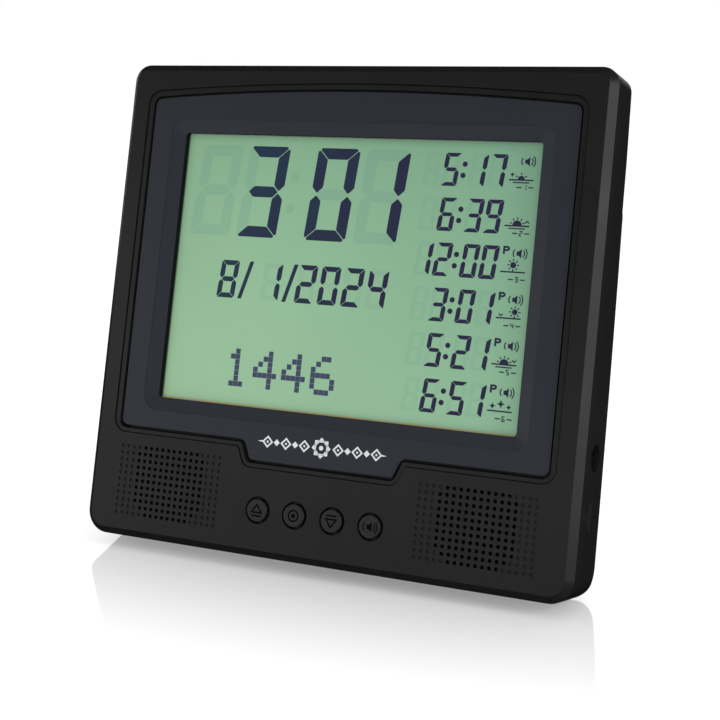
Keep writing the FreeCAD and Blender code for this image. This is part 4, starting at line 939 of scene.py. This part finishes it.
class CLOCK_OT_dress_side(bpy.types.Operator):
    """Finish the volume wheel and the power inlet and mark the side wall"""

    bl_idname = "clock.dress_side"
    bl_label = "Side controls"

    def execute(self, context):
        settings = context.scene.clock_case
        # Black acetal wheel: the knurls catch small highlights.
        acetal = moulded("acetal_black", settings.key_colour, roughness=0.38, grain=0.8,
                         relief=0.03, specular=0.35)
        dress(acetal, "volume_wheel")
        # Glossy black nylon of the inlet, with a faint flow pattern.
        nylon = moulded("nylon_black", "#0b0b0c", roughness=0.28, grain=2.0, relief=0.02)
        dress(nylon, "power_jack", "volume_control", "key_switches")
        # Nickel plate on steel: bright and a little warm.
        nickel = metal("nickel_plate", "#bdb9b0", roughness=0.3, brush=(0.2, 1.5, 1.5), worn=0.85)
        dress(nickel, "power_jack_pin", "battery_contacts", "battery_springs", "stand_pin")
        # Raised by the case's own mould, painted a shade paler than the wall as a highlight: just
        # readable.
        mark = moulded("abs_raised_black_painted_highlight", "#26262a", roughness=0.45, grain=0.8, relief=0.03,
                       specular=0.3)
        prisms("side_marks", horn(8.4, 35.4, 0.9), -INK / 4, INK, "case", mark, SIDE)
        return {"FINISHED"}


class CLOCK_OT_dress_speakers(bpy.types.Operator):
    """Finish the speakers behind the two grilles"""

    bl_idname = "clock.dress_speakers"
    bl_label = "Speakers"

    def execute(self, context):
        # Pressed steel baskets, dull and nearly black: partly a dark coat, partly painted shade, so
        # the grille's holes read dark.
        steel = metal("steel_dark_coat_and_painted_shade", "#232325", roughness=0.5, brush=(0.3, 1.2, 1.2),
                      worn=0.8)
        # Pressed paper cones: matt black fibre.
        paper = moulded("paper_pressed_black", "#161617", roughness=0.9, grain=0.5, relief=0.1,
                        specular=0.15)
        # Sintered ferrite behind a plated yoke: dark grey and slightly rough.
        ferrite = moulded("ferrite_sintered", "#2a2a2b", roughness=0.6, grain=0.6, relief=0.08)
        for side in ("left", "right"):
            dress(steel, "speaker_%s_basket" % side)
            dress(paper, "speaker_%s_cone" % side)
            dress(ferrite, "speaker_%s_magnet" % side)
        return {"FINISHED"}


class CLOCK_OT_dress_inside(bpy.types.Operator):
    """Finish the display stack, the boards, the cells and the screws"""

    bl_idname = "clock.dress_inside"
    bl_label = "Inside"

    def execute(self, context):
        # Float glass of the display cell, faintly green in the edge.
        glass = clear_sheet("glass_float", "#dfe9df", 0.03)
        # Cast acrylic light guide: its green is painted glow from its lamps.
        guide = clear_sheet("acrylic_cast_green_lit", "#b9dcae", 0.12)
        # White polyester film: matt, with a faint cloudiness.
        film = moulded("polyester_film_white", "#e9ebe8", roughness=0.6, grain=3.0, relief=0.01)
        # Natural white ABS of the holder, moulded without paint.
        natural = moulded("abs_natural_white", "#dcdcd6", roughness=0.5, grain=1.0, relief=0.03)
        # Layers of conductive and clear silicone rubber: fine stripes.
        strip = layered("silicone_layered", "#5a5a5e", "#8a8a90", 1.184)
        # Glass-fibre laminate under green solder mask: its tracks show as paler lines.
        board = laminate("laminate_green_mask", "#1a5634")
        # Black epoxy over the chips: glossy and slightly uneven.
        epoxy = moulded("epoxy_black", "#101011", roughness=0.3, grain=3.0, relief=0.2)
        # Cream nylon plugs and cans: satin.
        cream = moulded("nylon_cream", "#ded9c4", roughness=0.45, grain=1.2, relief=0.03)
        # Lamp packages in white resin: smooth and bright.
        resin = moulded("resin_white", "#eef0dc", roughness=0.35, grain=1.0, relief=0.02)
        # Printed shrink sleeve with plain bands and no name: glossy.
        jacket = sleeve("sleeve_printed_blue", "#1b3c6b", "#c9a45c")
        # Black-zinc steel screws: dark and satin, with turned lines.
        zinc = metal("steel_black_zinc", "#5b5b5e", roughness=0.42, brush=(1.5, 0.3, 1.5),
                     worn=0.75)
        for material, names in (
                (glass, ("lcd_front_glass", "lcd_rear_glass")), (guide, ("light_guide",)),
                (film, ("reflector_sheet",)), (natural, ("lcd_holder",)),
                (strip, ("contact_strip",)), (board, ("main_board", "key_board", "side_board")),
                (epoxy, ("board_chips",)), (cream, ("board_components",)),
                (resin, ("backlight_leds",)),
                (jacket, ("battery_cell_lower", "battery_cell_upper")),
                (zinc, ("case_screws", "holder_screws", "board_screws", "key_board_screws",
                        "side_board_screws", "speaker_screws", "speaker_washers"))):
            dress(material, *names)
        return {"FINISHED"}


class CLOCK_OT_set_stage(bpy.types.Operator):
    """Lay the white floor, light the room and place the camera"""

    bl_idname = "clock.set_stage"
    bl_label = "Stage"

    def execute(self, context):
        settings = context.scene.clock_stage
        white_floor(settings.floor_gloss)
        light_room(context.scene, settings)
        black_cards()
        place_camera(context.scene, settings.lens)
        context.scene.view_settings.view_transform = "Standard"
        return {"FINISHED"}


FLOOR_HALF = 4.0
FLOOR_GLOW = 0.45  # adds to the light on the floor where it is looked at, until it is white


def white_floor(gloss):
    """White acrylic floor that mirrors the clock close to it, and is white where it is empty."""
    mesh = bpy.data.meshes.new("studio_floor")
    corners = [(x * FLOOR_HALF, y * FLOOR_HALF, 0) for x, y in ((-1, -1), (1, -1), (1, 1), (-1, 1))]
    mesh.from_pydata(corners, [], [(0, 1, 2, 3)])
    floor = bpy.data.objects.new("studio_floor", mesh)
    bpy.context.scene.collection.objects.link(floor)
    material, tree, where = new_material("acrylic_floor_white")
    near = pool(tree, where, (0.0, -0.02857, 0.0), (0.625, 0.14286, 0.0))
    share = add(tree, "Math", {0: near, 1: gloss}, operation="MULTIPLY")
    matt = add(tree, "BsdfDiffuse", {"Color": rgba("#f4f4f4")})
    mirror = add(tree, "BsdfGlossy", {"Color": rgba("#ffffff"), "Roughness": 0.06})
    glow = add(tree, "Emission", {"Color": rgba("#ffffff"), "Strength": FLOOR_GLOW})
    dark = add(tree, "Emission", {"Color": rgba("#000000"), "Strength": 0.0})
    lift = add(tree, "MixShader", {
        0: seen_by(tree, "Is Camera Ray", "Is Glossy Ray"), 1: dark.outputs[0], 2: glow.outputs[0]})
    white = add(tree, "AddShader", {0: matt.outputs[0], 1: lift.outputs[0]})
    surface = add(tree, "MixShader", {
        0: share.outputs[0], 1: white.outputs[0], 2: mirror.outputs[0]})
    finish_surface(tree, surface)
    mesh.materials.append(material)


LAMP_AIM = Vector((0.0, 0.0, 0.1))


def light_room(scene, settings):
    """Soft light from all round, a large lamp at the left, a low strip and one at the right."""
    world = bpy.data.worlds.new("studio_room")
    scene.world = world
    world.use_nodes = True
    tree = world.node_tree
    tree.nodes.clear()
    room = add(tree, "Background", {
        "Color": rgba("#ffffff"), "Strength": settings.room_strength})
    backdrop = add(tree, "Background", {"Color": rgba("#ffffff"), "Strength": 1.0})
    mix = add(tree, "MixShader", {
        0: seen_by(tree, "Is Camera Ray", "Is Glossy Ray", "Is Transmission Ray"),
        1: room.outputs[0], 2: backdrop.outputs[0]})
    add(tree, "OutputWorld", {"Surface": mix.outputs[0]})
    for name, power, place, width, height in (
            ("key_lamp", settings.key_power, (-0.98, -0.72, 0.3), 0.7, 0.5),
            ("low_lamp", settings.low_power, (-0.33, -1.1, 0.17), 0.6, 0.12),
            ("rim_lamp", settings.rim_power, (1.06, -0.2, 0.4), 0.12, 0.8)):
        lamp = bpy.data.lights.new(name, "AREA")
        lamp.energy = power
        lamp.shape = "RECTANGLE"
        lamp.size = width
        lamp.size_y = height
        holder = bpy.data.objects.new(name, lamp)
        holder.location = place
        holder.rotation_euler = (LAMP_AIM - holder.location).to_track_quat("-Z", "Y").to_euler()
        scene.collection.objects.link(holder)


def felt():
    """Black felt, laid on one side of a card as far as the card's cover says."""
    material, tree, where = new_material("felt_card_black")
    fibre = add(tree, "TexNoise", {"Vector": where, "Scale": 300.0})
    tone = add(tree, "Mix", {
        "Factor": fibre.outputs["Fac"], "A": rgba("#050505"), "B": rgba("#0c0c0c")},
        data_type="RGBA")
    pile = add(tree, "BsdfDiffuse", {"Color": tone.outputs["Result"]})
    clear = add(tree, "BsdfTransparent")
    side = add(tree, "NewGeometry").outputs["Backfacing"]
    cover = add(tree, "Attribute", attribute_name="cover").outputs["Fac"]
    there = add(tree, "Math", {0: side, 1: cover}, operation="MULTIPLY")
    finish_surface(tree, add(tree, "MixShader", {
        0: there.outputs[0], 1: clear.outputs[0], 2: pile.outputs[0]}))
    return material


CARD_STEPS = (0.0, 0.2, 0.8, 1.0)  # a soft side of a card fades out over a fifth of it


def black_card(name, corners, soft, material):
    """Card that only shine meets, with soft sides at the start and end of its two directions."""
    first, second, third, fourth = (Vector(corner) for corner in corners)
    points, cover = [], []
    for along in CARD_STEPS:
        for across in CARD_STEPS:
            points.append(first.lerp(second, across).lerp(fourth.lerp(third, across), along))
            ends = (across == 0.0, across == 1.0, along == 0.0, along == 1.0)
            cover.append(0.0 if any(a and b for a, b in zip(ends, soft)) else 1.0)
    row = len(CARD_STEPS)
    faces = [(i, i + 1, i + row + 1, i + row)
             for i in range(row * (row - 1)) if i % row != row - 1]
    mesh = bpy.data.meshes.new(name)
    mesh.from_pydata(points, [], faces)
    mesh.attributes.new("cover", "FLOAT", "POINT").data.foreach_set("value", cover)
    mesh.materials.append(material)
    card = bpy.data.objects.new(name, mesh)
    bpy.context.scene.collection.objects.link(card)
    card.visible_camera = False
    card.visible_diffuse = False
    card.visible_shadow = False
    card.visible_transmission = False


def black_cards():
    """Black cards round the case, so that its edges and side do not mirror the white room."""
    beside = [CASE @ (Vector((128, y, z)) * MM) for y, z in (
        (7, -60), (700, -60), (700, 600), (7, 600))]
    over_floor = 0.0004
    material = felt()
    for name, corners, soft in (
            ("card_right", beside, (0, 1, 0, 1)),
            ("card_left", [(-0.4, -0.25, 0.0), (-0.4, -0.25, 0.6), (-0.4, 0.26, 0.6),
                           (-0.4, 0.26, 0.0)], (0, 1, 1, 1)),
            # Felt side up, for the lower edges.
            ("card_low", [(-0.6, -0.35, over_floor), (-0.6, 0.25, over_floor),
                          (0.42, 0.25, over_floor), (0.42, -0.35, over_floor)], (1, 1, 1, 1)),
            # Rising to the rear at the left, for the left edge.
            ("card_rise", [(-0.6, 0.1, 0.001), (-0.6, 0.75, 0.175), (-0.13, 0.75, 0.175),
                           (-0.13, 0.1, 0.001)], (0, 1, 1, 0)),
            ("card_top", [(-0.36, -0.02, 0.26), (0.32, -0.02, 0.26), (0.32, 0.42, 0.26),
                          (-0.36, 0.42, 0.26)], (1, 1, 0, 1)),
            ("card_front", [(-1.4, -1.0, 0.42), (0.5, -1.0, 0.42), (0.5, -1.0, 1.4),
                            (-1.4, -1.0, 1.4)], (1, 1, 0, 1))):
        black_card(name, corners, soft, material)


CAMERA_PLACE = (0.28381, -0.58435, 0.22734)
CAMERA_ANGLES = (80.651, 0.275, 25.443)  # degrees
CAMERA_SHIFT = -0.1  # leaves room for the floor's reflection under the clock


def place_camera(scene, lens):
    """Camera in front, to the right and a little above the display's middle."""
    camera = bpy.data.cameras.new("camera")
    camera.sensor_width = 36.0
    camera.lens = lens
    camera.shift_y = CAMERA_SHIFT
    camera.clip_start = 0.01
    holder = bpy.data.objects.new("camera", camera)
    holder.location = CAMERA_PLACE
    holder.rotation_euler = [math.radians(angle) for angle in CAMERA_ANGLES]
    scene.collection.objects.link(holder)
    scene.camera = holder


class CLOCK_PT_dressing(bpy.types.Panel):
    """Lists the clock's pieces and the stage"""

    bl_label = "Clock"
    bl_idname = "CLOCK_PT_dressing"
    bl_space_type = "VIEW_3D"
    bl_region_type = "UI"
    bl_category = "Clock"

    def draw(self, context):
        for group in (context.scene.clock_case, context.scene.clock_display,
                      context.scene.clock_stage):
            box = self.layout.box()
            for name in group.__annotations__:
                box.prop(group, name)
        for operator in OPERATORS:
            self.layout.operator(operator.bl_idname)


SETTINGS = {"clock_case": ClockCaseSettings, "clock_display": ClockDisplaySettings,
            "clock_stage": ClockStageSettings}
OPERATORS = (CLOCK_OT_dress_case, CLOCK_OT_dress_panel, CLOCK_OT_dress_display,
             CLOCK_OT_dress_keys, CLOCK_OT_dress_side, CLOCK_OT_dress_speakers,
             CLOCK_OT_dress_inside, CLOCK_OT_set_stage)


def register():
    """Register the settings, operators and panel."""
    for name, group in SETTINGS.items():
        bpy.utils.register_class(group)
        setattr(bpy.types.Scene, name, PointerProperty(type=group))
    for operator in OPERATORS:
        bpy.utils.register_class(operator)
    bpy.utils.register_class(CLOCK_PT_dressing)


def unregister():
    """Take everything that register adds away again."""
    bpy.utils.unregister_class(CLOCK_PT_dressing)
    for operator in reversed(OPERATORS):
        bpy.utils.unregister_class(operator)
    for name, group in reversed(SETTINGS.items()):
        delattr(bpy.types.Scene, name)
        bpy.utils.unregister_class(group)


def main():
    """Dress the clock and set the stage."""
    register()
    for operator in OPERATORS:
        group, name = operator.bl_idname.split(".")
        getattr(getattr(bpy.ops, group), name)()


if __name__ == "__main__":
    main()
